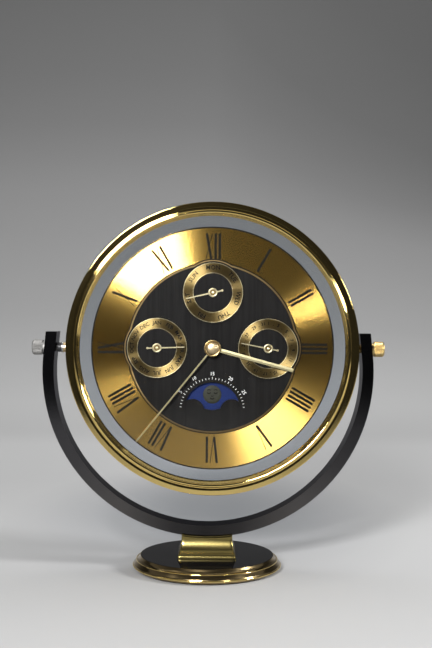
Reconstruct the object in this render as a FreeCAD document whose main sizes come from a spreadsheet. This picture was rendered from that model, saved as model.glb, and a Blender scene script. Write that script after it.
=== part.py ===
import FreeCAD, Part
import math
import os
import Sketcher
from FreeCAD import Vector

# Desk clock with calendar: a round glass-walled head that tilts in a curved yoke on a turned base.
# Frame: origin at the centre of the base's underside, +Z up, the dial faces -Y, millimetres.
# Pieces of the head are drawn about the head's own centre, with y growing from front to back.

DIMENSIONS = {
    # Base
    "base_radius": 38.5,
    "base_foot_inset": 1.2,
    "base_edge_height": 2.9,
    "base_line_inset": 1.5,
    "base_line_height": 5.8,
    "base_top": 7.2,
    "felt_inset": 2.5,
    "felt_thickness": 0.9,
    "top_plate_inset": 4.3,
    "top_plate_thickness": 1.6,
    "seat_clearance": 0.1,
    # Pedestal
    "pedestal_foot_width": 29.6,
    "pedestal_head_width": 26.0,
    "pedestal_foot_depth": 26.0,
    "pedestal_foot_lip": 1.6,
    "pedestal_foot_step": 0.5,
    "pedestal_neck_depth": 15.0,
    "pedestal_cove_radius": 9.5,
    "pedestal_head_lip": 0.7,
    "pedestal_head_depth": 16.4,
    "pedestal_cheek": 1.0,
    "pedestal_cheek_rise": 3.2,
    # Yoke
    "yoke_clearance": 4.3,
    "yoke_thickness": 5.7,
    "yoke_depth": 12.0,
    "yoke_bottom": 17.2,
    "yoke_bend_rise": 8.45,
    "yoke_tip": 8.2,
    "spot_face_radius": 3.6,
    "spot_face_depth": 0.45,
    # Pivots
    "pivot_rise": 11.8,
    "head_offset": 2.2,
    "pivot_shank_radius": 2.0,
    "pivot_fit": 0.05,
    "pivot_boss_radius": 2.5,
    "left_boss_length": 3.6,
    "pivot_washer_radius": 2.9,
    "pivot_washer_thickness": 0.8,
    "pivot_sleeve_radius": 2.25,
    "pivot_shank_clearance": 0.1,
    "pivot_play": 0.4,
    "knob_collar_radius": 3.1,
    "knob_collar_length": 2.3,
    "knob_radius": 4.05,
    "knob_knurl_depth": 0.22,
    "knob_length": 5.2,
    "knob_crown": 0.6,
    "knob_crown_scale": 0.82,
    "knob_ridges": 16,
    # Case of the head
    "bezel_radius": 75.0,
    "bezel_width": 7.2,
    "bezel_front": 11.0,
    "bezel_crest_inset": 5.4,
    "bezel_groove_inset": 3.6,
    "bezel_groove_depth": 1.3,
    "bezel_bevel_inset": 1.5,
    "bezel_edge_height": 1.0,
    "crystal_thickness": 2.0,
    "crystal_back": 6.6,
    "drum_inset": 1.4,
    "drum_wall": 1.1,
    "drum_lip": 3.2,
    "drum_lip_thickness": 1.6,
    "rear_glass_front": 6.9,
    "rear_glass_thickness": 2.0,
    "rear_glass_opening": 47.0,
    "rear_glass_corner": 27.0,
    # Dial
    "dial_radius": 63.0,
    "dial_opening": 38.5,
    "dial_opening_corner": 16.0,
    "dial_thickness": 0.8,
    "dial_back": 0.4,
    "centre_plate_radius": 43.8,
    "centre_plate_thickness": 0.6,
    "subdial_distance": 28.8,
    "subdial_radius": 15.5,
    "subdial_thickness": 0.5,
    "subdial_border": 1.3,
    "moon_distance": 32.2,
    "moon_window_radius": 14.5,
    "moon_hump_radius": 6.2,
    "moon_hump_distance": 10.25,
    "moon_hump_angle": 92.0,
    "moon_hump_end": 12.0,
    # Hands
    "hour_hand_length": 41.8,
    "hour_hand_width": 2.2,
    "hour_hand_angle": 105.0,
    "minute_hand_length": 62.0,
    "minute_hand_width": 1.2,
    "minute_hand_angle": 219.0,
    "hand_thickness": 0.4,
    "hour_hand_front": 3.4,
    "minute_hand_front": 4.5,
    "hand_hub_radius": 3.4,
    "cap_radius": 4.4,
    "cap_rim": 0.5,
    "cap_button_radius": 3.0,
    "cap_button_height": 0.9,
    "small_hand_length": 14.5,
    "small_hand_width": 1.1,
    "small_hand_tail": 5.3,
    "small_hand_hub_radius": 2.3,
    "small_hand_thickness": 0.3,
    "small_hand_front": 2.1,
    "weekday_angle": 257.0,
    "month_angle": 88.0,
    "date_angle": 281.0,
    # Works tray
    "tray_margin": 3.0,
    "tray_chamfer": 22.0,
    "tray_wall": 2.0,
    "tray_floor": 1.2,
    "arbor_radius": 0.5,
    "arbor_fit": 0.05,
    "dial_hole_clearance": 0.4,
    # Motion works
    "centre_arbor_radius": 1.2,
    "pipe_radius": 2.2,
    "pipe_fit": 0.07,
    "motion_centre_distance": 12.0,
    "tooth_addendum": 0.65,
    "tooth_dedendum": 1.15,
    "tooth_tip_share": 0.16,
    "cannon_teeth": 10,
    "minute_wheel_teeth": 30,
    "minute_pinion_teeth": 8,
    "hour_wheel_teeth": 32,
    "motion_wheel_front": 4.3,
    "motion_wheel_thickness": 0.9,
    "hour_wheel_front": 3.2,
    "hour_wheel_thickness": 0.7,
    "day_drive_teeth": 12,
    "day_wheel_teeth": 24,
    "day_centre_distance": 24.0,
    "day_wheel_front": 2.0,
    "day_wheel_thickness": 0.9,
    # Calendar works
    "star_front": 0.9,
    "star_thickness": 0.8,
    "star_radius": 7.6,
    "weekday_teeth": 7,
    "weekday_tooth_depth": 2.6,
    "date_teeth": 31,
    "date_tooth_depth": 1.1,
    "month_teeth": 12,
    "month_tooth_depth": 1.9,
    "moon_disc_radius": 15.8,
    "moon_teeth": 59,
    "moon_tooth_depth": 0.9,
    "day_finger_reach": 14.2,
    "moon_finger_reach": 8.0,
    "finger_width": 1.6,
    "jumper_width": 1.0,
    "jumper_length": 13.0,
    "jumper_clearance": 0.15,
    "jumper_foot_length": 2.4,
    # Quartz movement and battery
    "movement_wall": 2.05,
    "movement_depth": 15.0,
    "battery_radius": 7.25,
    "battery_length": 50.5,
    "battery_drop": 18.0,
    "battery_clearance": 0.3,
    "contact_thickness": 0.4,
    "contact_width": 9.0,
    # Rear cover and controls
    "cover_draft": 18.0,
    "cover_wall": 1.3,
    "cover_recess_clearance": 0.5,
    "cover_back": 23.6,
    "battery_door_inset": 0.5,
    "battery_door_height": 17.0,
    "battery_door_clearance": 0.25,
    "battery_door_latch": 8.0,
    "battery_door_grip": 1.0,
    "setting_arbor_radius": 1.3,
    "setting_knob_radius": 5.2,
    "setting_knob_length": 3.4,
    "setting_knob_gap": 0.5,
    "setting_knob_ridges": 16,
    "corrector_width": 3.0,
    "corrector_foot_width": 4.4,
    "corrector_foot": 0.25,
    "corrector_proud": 1.8,
    "corrector_fit": 0.08,
    "corrector_offset_across": 34.0,
    "corrector_offset_along": 9.0,
    "moon_corrector_across": 17.8,
    "moon_corrector_drop": 36.0,
    "leaf_thickness": 0.3,
    "leaf_length": 12.0,
    "leaf_width": 3.0,
    "leaf_stand_off": 1.3,
    "leaf_gap": 0.1,
}

document = FreeCAD.newDocument("desk_clock")


def make_sheet():
    """Put the driving dimensions in a spreadsheet, one alias to a row."""
    sheet = document.addObject("Spreadsheet::Sheet", "dims")
    for row, (alias, value) in enumerate(DIMENSIONS.items(), start=1):
        sheet.set("A%d" % row, alias)
        sheet.set("B%d" % row, str(value))
        sheet.setAlias("B%d" % row, alias)
    document.recompute()
    return sheet


dims = make_sheet()


class Size:
    """A size with its value and the expression on the sheet that gives it."""

    def __init__(self, value, text=None):
        self.value = float(value)
        self.text = text if text is not None else repr(float(value))

    def __add__(self, other):
        other = as_size(other)
        return Size(self.value + other.value, "(%s + %s)" % (self.text, other.text))

    def __radd__(self, other):
        return as_size(other) + self

    def __sub__(self, other):
        other = as_size(other)
        return Size(self.value - other.value, "(%s - %s)" % (self.text, other.text))

    def __rsub__(self, other):
        return as_size(other) - self

    def __mul__(self, other):
        other = as_size(other)
        return Size(self.value * other.value, "(%s * %s)" % (self.text, other.text))

    def __rmul__(self, other):
        return as_size(other) * self

    def __truediv__(self, other):
        other = as_size(other)
        return Size(self.value / other.value, "(%s / %s)" % (self.text, other.text))

    def __neg__(self):
        return Size(-self.value, "(0 - %s)" % self.text)

    def __float__(self):
        return self.value


def as_size(number):
    return number if isinstance(number, Size) else Size(number)


def square_root(size):
    return Size(math.sqrt(size.value), "sqrt(%s)" % size.text)


def dim(alias):
    """A driving dimension, read from the sheet."""
    return Size(dims.get(alias), "dims.%s" % alias)


def num(alias):
    """A driving dimension's plain number, for shapes that are worked out point by point."""
    return float(dims.get(alias))


SUBPARTS = []


def keep(item, label, place=(0, 0, 0)):
    """Name a sub-part and bind its placement to the sheet."""
    item.Label = label
    for axis, size in zip("xyz", place):
        item.setExpression("Placement.Base.%s" % axis, as_size(size).text)
    SUBPARTS.append(item)
    return item


def new_body(label, place=(0, 0, 0)):
    return keep(document.addObject("PartDesign::Body", label), label, place)


def add_shape(label, shape, place=(0, 0, 0)):
    """A sub-part whose outline is worked out by formula."""
    feature = document.addObject("Part::Feature", label)
    feature.Shape = shape
    return keep(feature, label, place)


def origin_plane(body, role):
    return next(item for item in body.Origin.OriginFeatures if item.Role == role)


def new_sketch(body, role, offset=0):
    """A sketch on one of the body's own origin planes, moved along the plane's normal."""
    sketch = body.newObject("Sketcher::SketchObject", body.Name + "_sketch")
    sketch.AttachmentSupport = [(origin_plane(body, role), "")]
    sketch.MapMode = "FlatFace"
    sketch.setExpression("AttachmentOffset.Base.z", as_size(offset).text)
    return sketch


def bind(sketch, kind, geometry, point, size):
    """Fix one coordinate of a point to a size, or to the axis where the size is nothing."""
    if abs(size.value) < 1e-9:
        axis = -2 if kind == "DistanceX" else -1
        sketch.addConstraint(Sketcher.Constraint("PointOnObject", geometry, point, axis))
        return
    index = sketch.addConstraint(Sketcher.Constraint(kind, geometry, point, size.value))
    sketch.setExpression("Constraints[%d]" % index, size.text)


def add_outline(sketch, corners):
    """A closed outline through corners (x, y) or (x, y, radius), in order.

    The radius is that of the arc which arrives at the corner: positive turns to the left."""
    corners = [tuple(as_size(value) for value in corner) for corner in corners]
    edges = []
    for index, corner in enumerate(corners):
        start = Vector(corners[index - 1][0].value, corners[index - 1][1].value, 0)
        end = Vector(corner[0].value, corner[1].value, 0)
        if len(corner) == 2:
            number = sketch.addGeometry(Part.LineSegment(start, end), False)
            edges.append((number, 1, 2))
            continue
        radius = corner[2].value
        chord = end - start
        side = Vector(-chord.y, chord.x, 0).normalize()
        reach = math.sqrt(max(radius * radius - chord.Length ** 2 / 4, 0))
        centre = (start + end) * 0.5 + side * math.copysign(reach, radius)
        circle = Part.Circle(centre, Vector(0, 0, 1), abs(radius))
        first, last = (start, end) if radius > 0 else (end, start)
        from_angle = math.atan2(first.y - centre.y, first.x - centre.x)
        to_angle = math.atan2(last.y - centre.y, last.x - centre.x)
        if to_angle < from_angle:
            to_angle += 2 * math.pi
        number = sketch.addGeometry(Part.ArcOfCircle(circle, from_angle, to_angle), False)
        edges.append((number, 1, 2) if radius > 0 else (number, 2, 1))
        rule = sketch.addConstraint(Sketcher.Constraint("Radius", number, abs(radius)))
        size = corner[2] if radius > 0 else -corner[2]
        sketch.setExpression("Constraints[%d]" % rule, size.text)
    for index, (number, first, last) in enumerate(edges):
        following = edges[(index + 1) % len(edges)]
        sketch.addConstraint(
            Sketcher.Constraint("Coincident", number, last, following[0], following[1]))
        bind(sketch, "DistanceX", number, last, corners[index][0])
        bind(sketch, "DistanceY", number, last, corners[index][1])


def add_circle(sketch, x, y, radius):
    x, y, radius = as_size(x), as_size(y), as_size(radius)
    circle = Part.Circle(Vector(x.value, y.value, 0), Vector(0, 0, 1), radius.value)
    number = sketch.addGeometry(circle, False)
    index = sketch.addConstraint(Sketcher.Constraint("Radius", number, radius.value))
    sketch.setExpression("Constraints[%d]" % index, radius.text)
    bind(sketch, "DistanceX", number, 3, x)
    bind(sketch, "DistanceY", number, 3, y)


def add_rectangle(sketch, left, bottom, right, top):
    add_outline(sketch, [(left, bottom), (right, bottom), (right, top), (left, top)])


def add_clipped_square(sketch, half, corner, x=0, z=0):
    """A square with its corners cut off, each side running from -corner to corner."""
    half, corner = as_size(half), as_size(corner)
    add_outline(sketch, [(x + across, z + along) for across, along in (
        (corner, -half), (half, -corner), (half, corner), (corner, half),
        (-corner, half), (-half, corner), (-half, -corner), (-corner, -half))])


def add_eight_sided_bore(sketch, x, z, radius):
    """A moulded bearing hole whose eight flats lie round an arbor."""
    add_clipped_square(sketch, radius, as_size(radius) * math.tan(math.pi / 8), x, z)


def revolve(body, sketch):
    """Turn the sketch once round its own vertical axis."""
    feature = body.newObject("PartDesign::Revolution", body.Name + "_turned")
    feature.Profile = sketch
    feature.ReferenceAxis = (sketch, ["V_Axis"])
    feature.Angle = 360
    return feature


def pad(body, sketch, length, midplane=False):
    feature = body.newObject("PartDesign::Pad", body.Name + "_pad")
    feature.Profile = sketch
    feature.setExpression("Length", as_size(length).text)
    if midplane:
        feature.SideType = "Symmetric"
    return feature


def pocket(body, sketch, length, midplane=False):
    """Cut the sketch away from its face into the solid, against the sketch's normal."""
    before = body.Shape.Volume
    feature = body.newObject("PartDesign::Pocket", body.Name + "_pocket")
    feature.Profile = sketch
    feature.setExpression("Length", as_size(length).text)
    if midplane:
        feature.SideType = "Symmetric"
    document.recompute()
    if not body.Shape.Volume < before - 1e-6:
        raise RuntimeError("a cut in %s removes nothing" % body.Label)
    return feature


def turned_piece(label, role, corners, place):
    """A piece turned from one closed profile of (radius, station) corners."""
    body = new_body(label, place)
    sketch = new_sketch(body, role)
    add_outline(sketch, corners)
    revolve(body, sketch)
    document.recompute()
    return body


def clock_point(radius, angle, station=0.0):
    """The point at a clockwise angle from twelve o'clock, seen from the front."""
    turn = math.radians(angle)
    return Vector(radius * math.sin(turn), station, radius * math.cos(turn))


def plate(points, thickness):
    """A flat plate from its outline at the front, growing towards the back."""
    wire = Part.makePolygon(points + points[:1])
    return Part.Face(wire).extrude(Vector(0, thickness, 0))


def rod(radius, front, back, x=0.0, z=0.0):
    """A round rod along Y between two stations."""
    return Part.makeCylinder(radius, back - front, Vector(x, front, z), Vector(0, 1, 0))


def eight_sided_rod(flat_radius, front, back, x=0.0, z=0.0):
    """An eight-sided rod along Y, its flats at the given distance from the middle."""
    corner_radius = flat_radius / math.cos(math.pi / 8)
    points = [clock_point(corner_radius, 22.5 + 45 * index, front) + Vector(x, 0, z)
              for index in range(8)]
    return plate(points, back - front)


def ring(radius, bore, front, back, x=0.0, z=0.0):
    return rod(radius, front, back, x, z).cut(rod(bore, front - 1, back + 1, x, z))


def gear(teeth, pitch_radius, front, thickness, phase):
    """A spur wheel with straight-flanked teeth, one of them centred on the phase angle."""
    module = 2 * pitch_radius / teeth
    tip = pitch_radius + num("tooth_addendum") * module
    base = pitch_radius - num("tooth_dedendum") * module
    half_tip = num("tooth_tip_share") / 2
    pitch = 360.0 / teeth
    points = []
    for index in range(teeth):
        middle = phase + index * pitch
        for radius, share in ((base, -0.5), (tip, -half_tip), (tip, half_tip)):
            points.append(clock_point(radius, middle + share * pitch, front))
    return plate(points, thickness)


def mesh_phase(teeth, driver_teeth, driver_phase, direction):
    """Phase that puts a wheel's gap on the driver's tooth, the wheel lying in that direction."""
    ahead = (direction - driver_phase) * driver_teeth / 360.0
    share = ahead - math.floor(ahead)
    return direction + 180 + (share + 0.5) * 360.0 / teeth


def star(teeth, radius, depth, front, thickness, phase):
    """A star wheel with pointed teeth, a gap centred on the phase angle."""
    pitch = 360.0 / teeth
    points = []
    for index in range(teeth):
        middle = phase + index * pitch
        points.append(clock_point(radius - depth, middle, front))
        points.append(clock_point(radius, middle + pitch / 2, front))
    return plate(points, thickness)


# Sizes and places that several pieces share
battery_bay_half = (dim("battery_length") / 2 + dim("contact_thickness")
                    + dim("battery_clearance"))
movement_half = battery_bay_half + dim("movement_wall")
tray_half = (dim("moon_distance") + dim("moon_disc_radius") + dim("tray_margin")
             + dim("tray_wall"))
tray_corner = tray_half - dim("tray_chamfer")
foot_radius = dim("base_radius") - dim("base_foot_inset")
top_plate_radius = dim("base_radius") - dim("top_plate_inset")
drum_radius = dim("bezel_radius") - dim("drum_inset")
yoke_inner_radius = dim("bezel_radius") + dim("yoke_clearance")
yoke_radius = yoke_inner_radius + dim("yoke_thickness")
yoke_centre_height = dim("yoke_bottom") + yoke_radius
pivot_height = yoke_centre_height + dim("pivot_rise")
pivot = (dim("head_offset"), 0, pivot_height)
yoke_bend_across = square_root(yoke_radius * yoke_radius
                               - dim("yoke_bend_rise") * dim("yoke_bend_rise"))
yoke_lean = dim("yoke_bend_rise") / yoke_bend_across
yoke_outer_at_pivot = (yoke_bend_across
                       - (dim("pivot_rise") - dim("yoke_bend_rise")) * yoke_lean)
yoke_slant = square_root(1 + yoke_lean * yoke_lean)
yoke_inner_at_pivot = yoke_outer_at_pivot - dim("yoke_thickness") * yoke_slant
outer_seat = yoke_outer_at_pivot - dim("spot_face_depth")
plate_floor = dim("base_top") - dim("top_plate_thickness")
pivot_bore = dim("pivot_shank_radius") + dim("pivot_fit")
dial_front = dim("dial_thickness") - dim("dial_back")
centre_front = dial_front + dim("centre_plate_thickness")
subdial_front = centre_front + dim("subdial_thickness")
tray_back = dim("rear_glass_front")
tray_inside = tray_back - dim("tray_floor")
cover_front = dim("rear_glass_front") + dim("rear_glass_thickness")
cover_inside = dim("cover_back") - dim("cover_wall")
day_across = dim("day_centre_distance") / math.sqrt(2)


def make_base():
    """Turned base rim with a raised line, a lacquered top plate let into it, and a felt pad."""
    turned_piece("base_rim", "XZ_Plane", [
        (0, dim("felt_thickness")),
        (foot_radius, dim("felt_thickness")),
        (dim("base_radius"), dim("base_edge_height")),
        (dim("base_radius") - dim("base_line_inset"), dim("base_line_height")),
        (top_plate_radius + dim("seat_clearance"), dim("base_top")),
        (top_plate_radius + dim("seat_clearance"), plate_floor),
        (0, plate_floor),
    ], (0, 0, 0))

    top = document.addObject("Part::Cylinder", "base_top_plate")
    top.setExpression("Radius", top_plate_radius.text)
    top.setExpression("Height", dim("top_plate_thickness").text)
    keep(top, "base_top_plate", (0, 0, plate_floor))

    felt = document.addObject("Part::Cylinder", "base_felt")
    felt.setExpression("Radius", (dim("base_radius") - dim("felt_inset")).text)
    felt.setExpression("Height", dim("felt_thickness").text)
    keep(felt, "base_felt")


def make_pedestal():
    """Saddle block with coved front and back, whose cheeks hold the yoke from both sides."""
    foot = dim("pedestal_foot_depth") / 2
    step = foot - dim("pedestal_foot_step")
    neck = dim("pedestal_neck_depth") / 2
    head = dim("pedestal_head_depth") / 2
    channel = dim("yoke_depth") / 2 + dim("seat_clearance") / 2
    cheek = channel + dim("pedestal_cheek")
    lip_low = dim("base_top") + dim("pedestal_foot_lip")
    lip_high = dim("yoke_bottom") + dim("pedestal_head_lip")
    cove_foot = lip_low + dim("pedestal_foot_step")
    cheek_top = dim("yoke_bottom") + dim("pedestal_cheek_rise")
    cove = dim("pedestal_cove_radius")
    body = new_body("pedestal")
    side = new_sketch(body, "YZ_Plane")
    add_outline(side, [
        (-foot, dim("base_top")),
        (foot, dim("base_top")),
        (foot, lip_low),
        (step, cove_foot),
        (neck, dim("yoke_bottom") - dim("pedestal_head_lip"), -cove),
        (head, dim("yoke_bottom")),
        (head, lip_high),
        (cheek, lip_high),
        (cheek, cheek_top),
        (-cheek, cheek_top),
        (-cheek, lip_high),
        (-head, lip_high),
        (-head, dim("yoke_bottom")),
        (-neck, dim("yoke_bottom") - dim("pedestal_head_lip")),
        (-step, cove_foot, -cove),
        (-foot, lip_low),
    ])
    pad(body, side, dim("pedestal_foot_width"), midplane=True)
    document.recompute()

    channel_sketch = new_sketch(body, "XZ_Plane")
    add_circle(channel_sketch, 0, yoke_centre_height, yoke_radius)
    pocket(body, channel_sketch, channel * 2, midplane=True)

    half_foot = dim("pedestal_foot_width") / 2
    half_head = dim("pedestal_head_width") / 2
    sides = new_sketch(body, "XZ_Plane")
    for sign in (1, -1):
        add_outline(sides, [
            (half_foot * sign, lip_low),
            ((half_foot + 1) * sign, lip_low),
            ((half_foot + 1) * sign, cheek_top + 1),
            (half_head * sign, cheek_top + 1),
            (half_head * sign, dim("yoke_bottom")),
        ])
    pocket(body, sides, foot * 2, midplane=True)


def make_yoke():
    """Flat band bent to an arc, its arms ending in straight leaning tips with the pivot holes."""
    ratio = yoke_inner_radius / yoke_radius
    bend_height = yoke_centre_height + dim("yoke_bend_rise")
    yoke_top = pivot_height + dim("yoke_tip")
    inner_across = yoke_bend_across * ratio
    inner_height = yoke_centre_height + dim("yoke_bend_rise") * ratio
    outer_tip = yoke_bend_across - (yoke_top - bend_height) * yoke_lean
    inner_tip = outer_tip - dim("yoke_thickness") * yoke_slant
    body = new_body("yoke")
    band = new_sketch(body, "XZ_Plane")
    add_outline(band, [
        (outer_tip, yoke_top),
        (inner_tip, yoke_top),
        (inner_across, inner_height),
        (0, yoke_centre_height - yoke_inner_radius, -yoke_inner_radius),
        (-inner_across, inner_height, -yoke_inner_radius),
        (-inner_tip, yoke_top),
        (-outer_tip, yoke_top),
        (-yoke_bend_across, bend_height),
        (0, dim("yoke_bottom"), yoke_radius),
        (yoke_bend_across, bend_height, yoke_radius),
    ])
    pad(body, band, dim("yoke_depth"), midplane=True)
    document.recompute()

    pivots = new_sketch(body, "YZ_Plane")
    add_circle(pivots, 0, pivot_height, pivot_bore)
    pocket(body, pivots, yoke_radius * 2.2, midplane=True)
    for sign, offset in ((1, yoke_radius), (-1, -outer_seat)):
        outside = new_sketch(body, "YZ_Plane", offset)
        add_circle(outside, 0, pivot_height, dim("spot_face_radius"))
        pocket(body, outside, yoke_radius - outer_seat)


def tapered_prism(first, last):
    """A solid with flat sides between two outlines of the same shape, one after the other."""
    sides = []
    for index in range(len(first)):
        corners = [first[index - 1], first[index], last[index], last[index - 1]]
        sides.append(Part.Face(Part.makePolygon(corners + corners[:1])))
    ends = [Part.Face(Part.makePolygon(outline + outline[:1])) for outline in (first, last)]
    return Part.makeSolid(Part.makeShell(sides + ends))


def make_knob(label, side, reach):
    """Knurled pivot screw: crowned head, collar against the arm, shank into the head's boss."""
    collar_start = outer_seat.value
    head_start = collar_start + num("knob_collar_length")
    head_end = head_start + num("knob_length")
    crown_start = head_end - num("knob_crown")
    ridges = int(num("knob_ridges"))
    low = num("knob_radius") - num("knob_knurl_depth")

    def outline(scale, station):
        points = []
        for index in range(ridges * 2):
            radius = (num("knob_radius") if index % 2 else low) * scale
            turn = math.pi * index / ridges
            points.append(Vector(station, radius * math.cos(turn), radius * math.sin(turn)))
        return points

    barrel = tapered_prism(outline(1.0, head_start), outline(1.0, crown_start))
    crown = tapered_prism(outline(1.0, crown_start), outline(num("knob_crown_scale"), head_end))
    collar = Part.makeCylinder(num("knob_collar_radius"), num("knob_collar_length"),
                               Vector(collar_start, 0, 0), Vector(1, 0, 0))
    shank = Part.makeCylinder(num("pivot_shank_radius"), collar_start - reach,
                              Vector(reach, 0, 0), Vector(1, 0, 0))
    shape = barrel.fuse([crown, collar, shank]).removeSplitter()
    if side < 0:
        shape = shape.mirror(Vector(0, 0, 0), Vector(1, 0, 0))
    add_shape(label, shape, (0, 0, pivot_height))


def tube_along_x(outer, bore, start, end):
    low, high = min(start, end), max(start, end)
    skin = Part.makeCylinder(outer, high - low, Vector(low, 0, 0), Vector(1, 0, 0))
    hollow = Part.makeCylinder(bore, high - low + 2, Vector(low - 1, 0, 0), Vector(1, 0, 0))
    return skin.cut(hollow)


def make_pivots():
    """Both pivots: bosses on the drum, and on the left a flanged sleeve that fills the gap."""
    drum = drum_radius.value
    offset = num("head_offset")
    bore = pivot_bore.value
    arm = yoke_inner_at_pivot.value - num("pivot_play")
    left_boss_end = drum + num("left_boss_length")
    flange_end = left_boss_end + num("pivot_washer_thickness")
    bosses = [tube_along_x(num("pivot_boss_radius"), bore, -drum, -left_boss_end),
              tube_along_x(num("pivot_boss_radius"), bore, drum, arm - offset)]
    add_shape("pivot_bosses", Part.makeCompound(bosses), pivot)
    flange = tube_along_x(num("pivot_washer_radius"), bore, -left_boss_end, -flange_end)
    sleeve = tube_along_x(num("pivot_sleeve_radius"), bore, -flange_end, -(arm + offset))
    add_shape("left_pivot_sleeve", flange.fuse(sleeve).removeSplitter(), pivot)
    shank_end = drum + num("pivot_shank_clearance")
    make_knob("left_knob", -1, shank_end - offset)
    make_knob("right_knob", 1, shank_end + offset)


def make_case():
    """Drum, beaded bezel, front crystal and rear glass ring."""
    crystal_front = dim("crystal_back") + dim("crystal_thickness")
    groove = dim("bezel_front") - dim("bezel_groove_depth")
    edge = dim("bezel_radius")
    turned_piece("front_bezel", "XY_Plane", [
        (edge - dim("bezel_width"), -crystal_front),
        (edge - dim("bezel_crest_inset"), -dim("bezel_front")),
        (edge - dim("bezel_groove_inset"), -groove),
        (edge - dim("bezel_bevel_inset"), -groove),
        (edge, -(crystal_front + dim("bezel_edge_height"))),
        (edge, -crystal_front),
    ], pivot)

    drum_bore = drum_radius - dim("drum_wall")
    pane_radius = drum_bore - dim("seat_clearance")
    crystal = new_body("front_crystal", pivot)
    pane = new_sketch(crystal, "XZ_Plane", dim("crystal_back"))
    add_circle(pane, 0, 0, pane_radius)
    pad(crystal, pane, dim("crystal_thickness"))

    glass_back = dim("rear_glass_front") + dim("rear_glass_thickness")
    turned_piece("case_drum", "XY_Plane", [
        (drum_bore, -crystal_front),
        (drum_radius, -crystal_front),
        (drum_radius, glass_back + dim("drum_lip_thickness")),
        (drum_radius - dim("drum_lip"), glass_back + dim("drum_lip_thickness")),
        (drum_bore, glass_back),
    ], pivot)

    glass = new_body("rear_glass", pivot)
    annulus = new_sketch(glass, "XZ_Plane", -glass_back)
    add_circle(annulus, 0, 0, pane_radius)
    add_clipped_square(annulus, dim("rear_glass_opening"), dim("rear_glass_corner"))
    pad(glass, annulus, dim("rear_glass_thickness"))


def hands_and_holes():
    """The three subdials: name, place from the head's centre, and where the hand points."""
    reach = dim("subdial_distance")
    return (("weekday", as_size(0), reach, num("weekday_angle")),
            ("month", -reach, as_size(0), num("month_angle")),
            ("date", reach, as_size(0), num("date_angle")))


def moon_window():
    """The window over the moon disc: an arc on top, a round hump at each side, a point below."""
    radius = num("moon_window_radius")
    hump = num("moon_hump_radius")
    distance = num("moon_hump_distance")
    angle = num("moon_hump_angle")
    centre = clock_point(distance, angle)
    # Where the hump's circle meets the window's rim, on the side towards the top
    cosine = (radius ** 2 + distance ** 2 - hump ** 2) / (2 * radius * distance)
    rim = clock_point(radius, angle - math.degrees(math.acos(min(cosine, 1.0))))

    def on_hump(turn):
        return centre + Vector(hump * math.cos(turn), 0, hump * math.sin(turn))

    def mirrored(point):
        return Vector(-point.x, point.y, point.z)

    rim_turn = math.atan2(rim.z - centre.z, rim.x - centre.x)
    end_turn = math.pi - math.radians(num("moon_hump_end"))
    top = on_hump((rim_turn + end_turn) / 2)
    end = on_hump(end_turn)
    low = Vector(0, 0, 0)
    edges = [
        Part.Arc(mirrored(rim), Vector(0, 0, radius), rim).toShape(),
        Part.Arc(rim, top, end).toShape(),
        Part.makeLine(end, low),
        Part.makeLine(low, mirrored(end)),
        Part.Arc(mirrored(end), mirrored(top), mirrored(rim)).toShape(),
    ]
    return Part.Face(Part.Wire(edges))


def make_dial():
    """Chapter ring, centre plate with its lobes and moon window, and the three subdial discs."""
    chapter = new_body("chapter_ring", pivot)
    annulus = new_sketch(chapter, "XZ_Plane", -dim("dial_back"))
    add_circle(annulus, 0, 0, dim("dial_radius"))
    add_clipped_square(annulus, dim("dial_opening"), dim("dial_opening_corner"))
    pad(chapter, annulus, dim("dial_thickness"))

    front = -centre_front.value
    back = -dial_front.value
    lobe = num("subdial_radius") + num("subdial_border")
    shape = rod(num("centre_plate_radius"), front, back)
    shape = shape.fuse([rod(lobe, front, back, x.value, z.value)
                        for _, x, z, _ in hands_and_holes()]).removeSplitter()
    arbor_hole = num("arbor_radius") + num("dial_hole_clearance")
    cuts = [eight_sided_rod(arbor_hole, front - 1, back + 1, x.value, z.value)
            for _, x, z, _ in hands_and_holes()]
    cuts.append(rod(num("pipe_radius") + num("dial_hole_clearance"), front - 1, back + 1))
    window = moon_window()
    window.translate(Vector(0, front - 1, -num("moon_distance")))
    cuts.append(window.extrude(Vector(0, num("centre_plate_thickness") + 2, 0)))
    add_shape("centre_plate", shape.cut(cuts), pivot)

    disc = rod(num("subdial_radius"), -subdial_front.value, front)
    disc = disc.cut(eight_sided_rod(arbor_hole, -subdial_front.value - 1, front + 1))
    discs = [disc.translated(Vector(x.value, 0, z.value)) for _, x, z, _ in hands_and_holes()]
    add_shape("subdial_discs", Part.makeCompound(discs), pivot)


def hand_blade(length, width, start, front, thickness, angle, tip_share):
    """A flat hand blade from its hub to its tip, narrowing to a short point."""
    half = width / 2
    outline = [(-half * 0.8, start), (-half, length * 0.5), (-half * tip_share, length - width),
               (0.0, length), (half * tip_share, length - width), (half, length * 0.5),
               (half * 0.8, start)]
    turn = math.radians(angle)
    points = []
    for across, along in outline:
        points.append(Vector(along * math.sin(turn) + across * math.cos(turn), front,
                             along * math.cos(turn) - across * math.sin(turn)))
    return plate(points, thickness)


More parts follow.
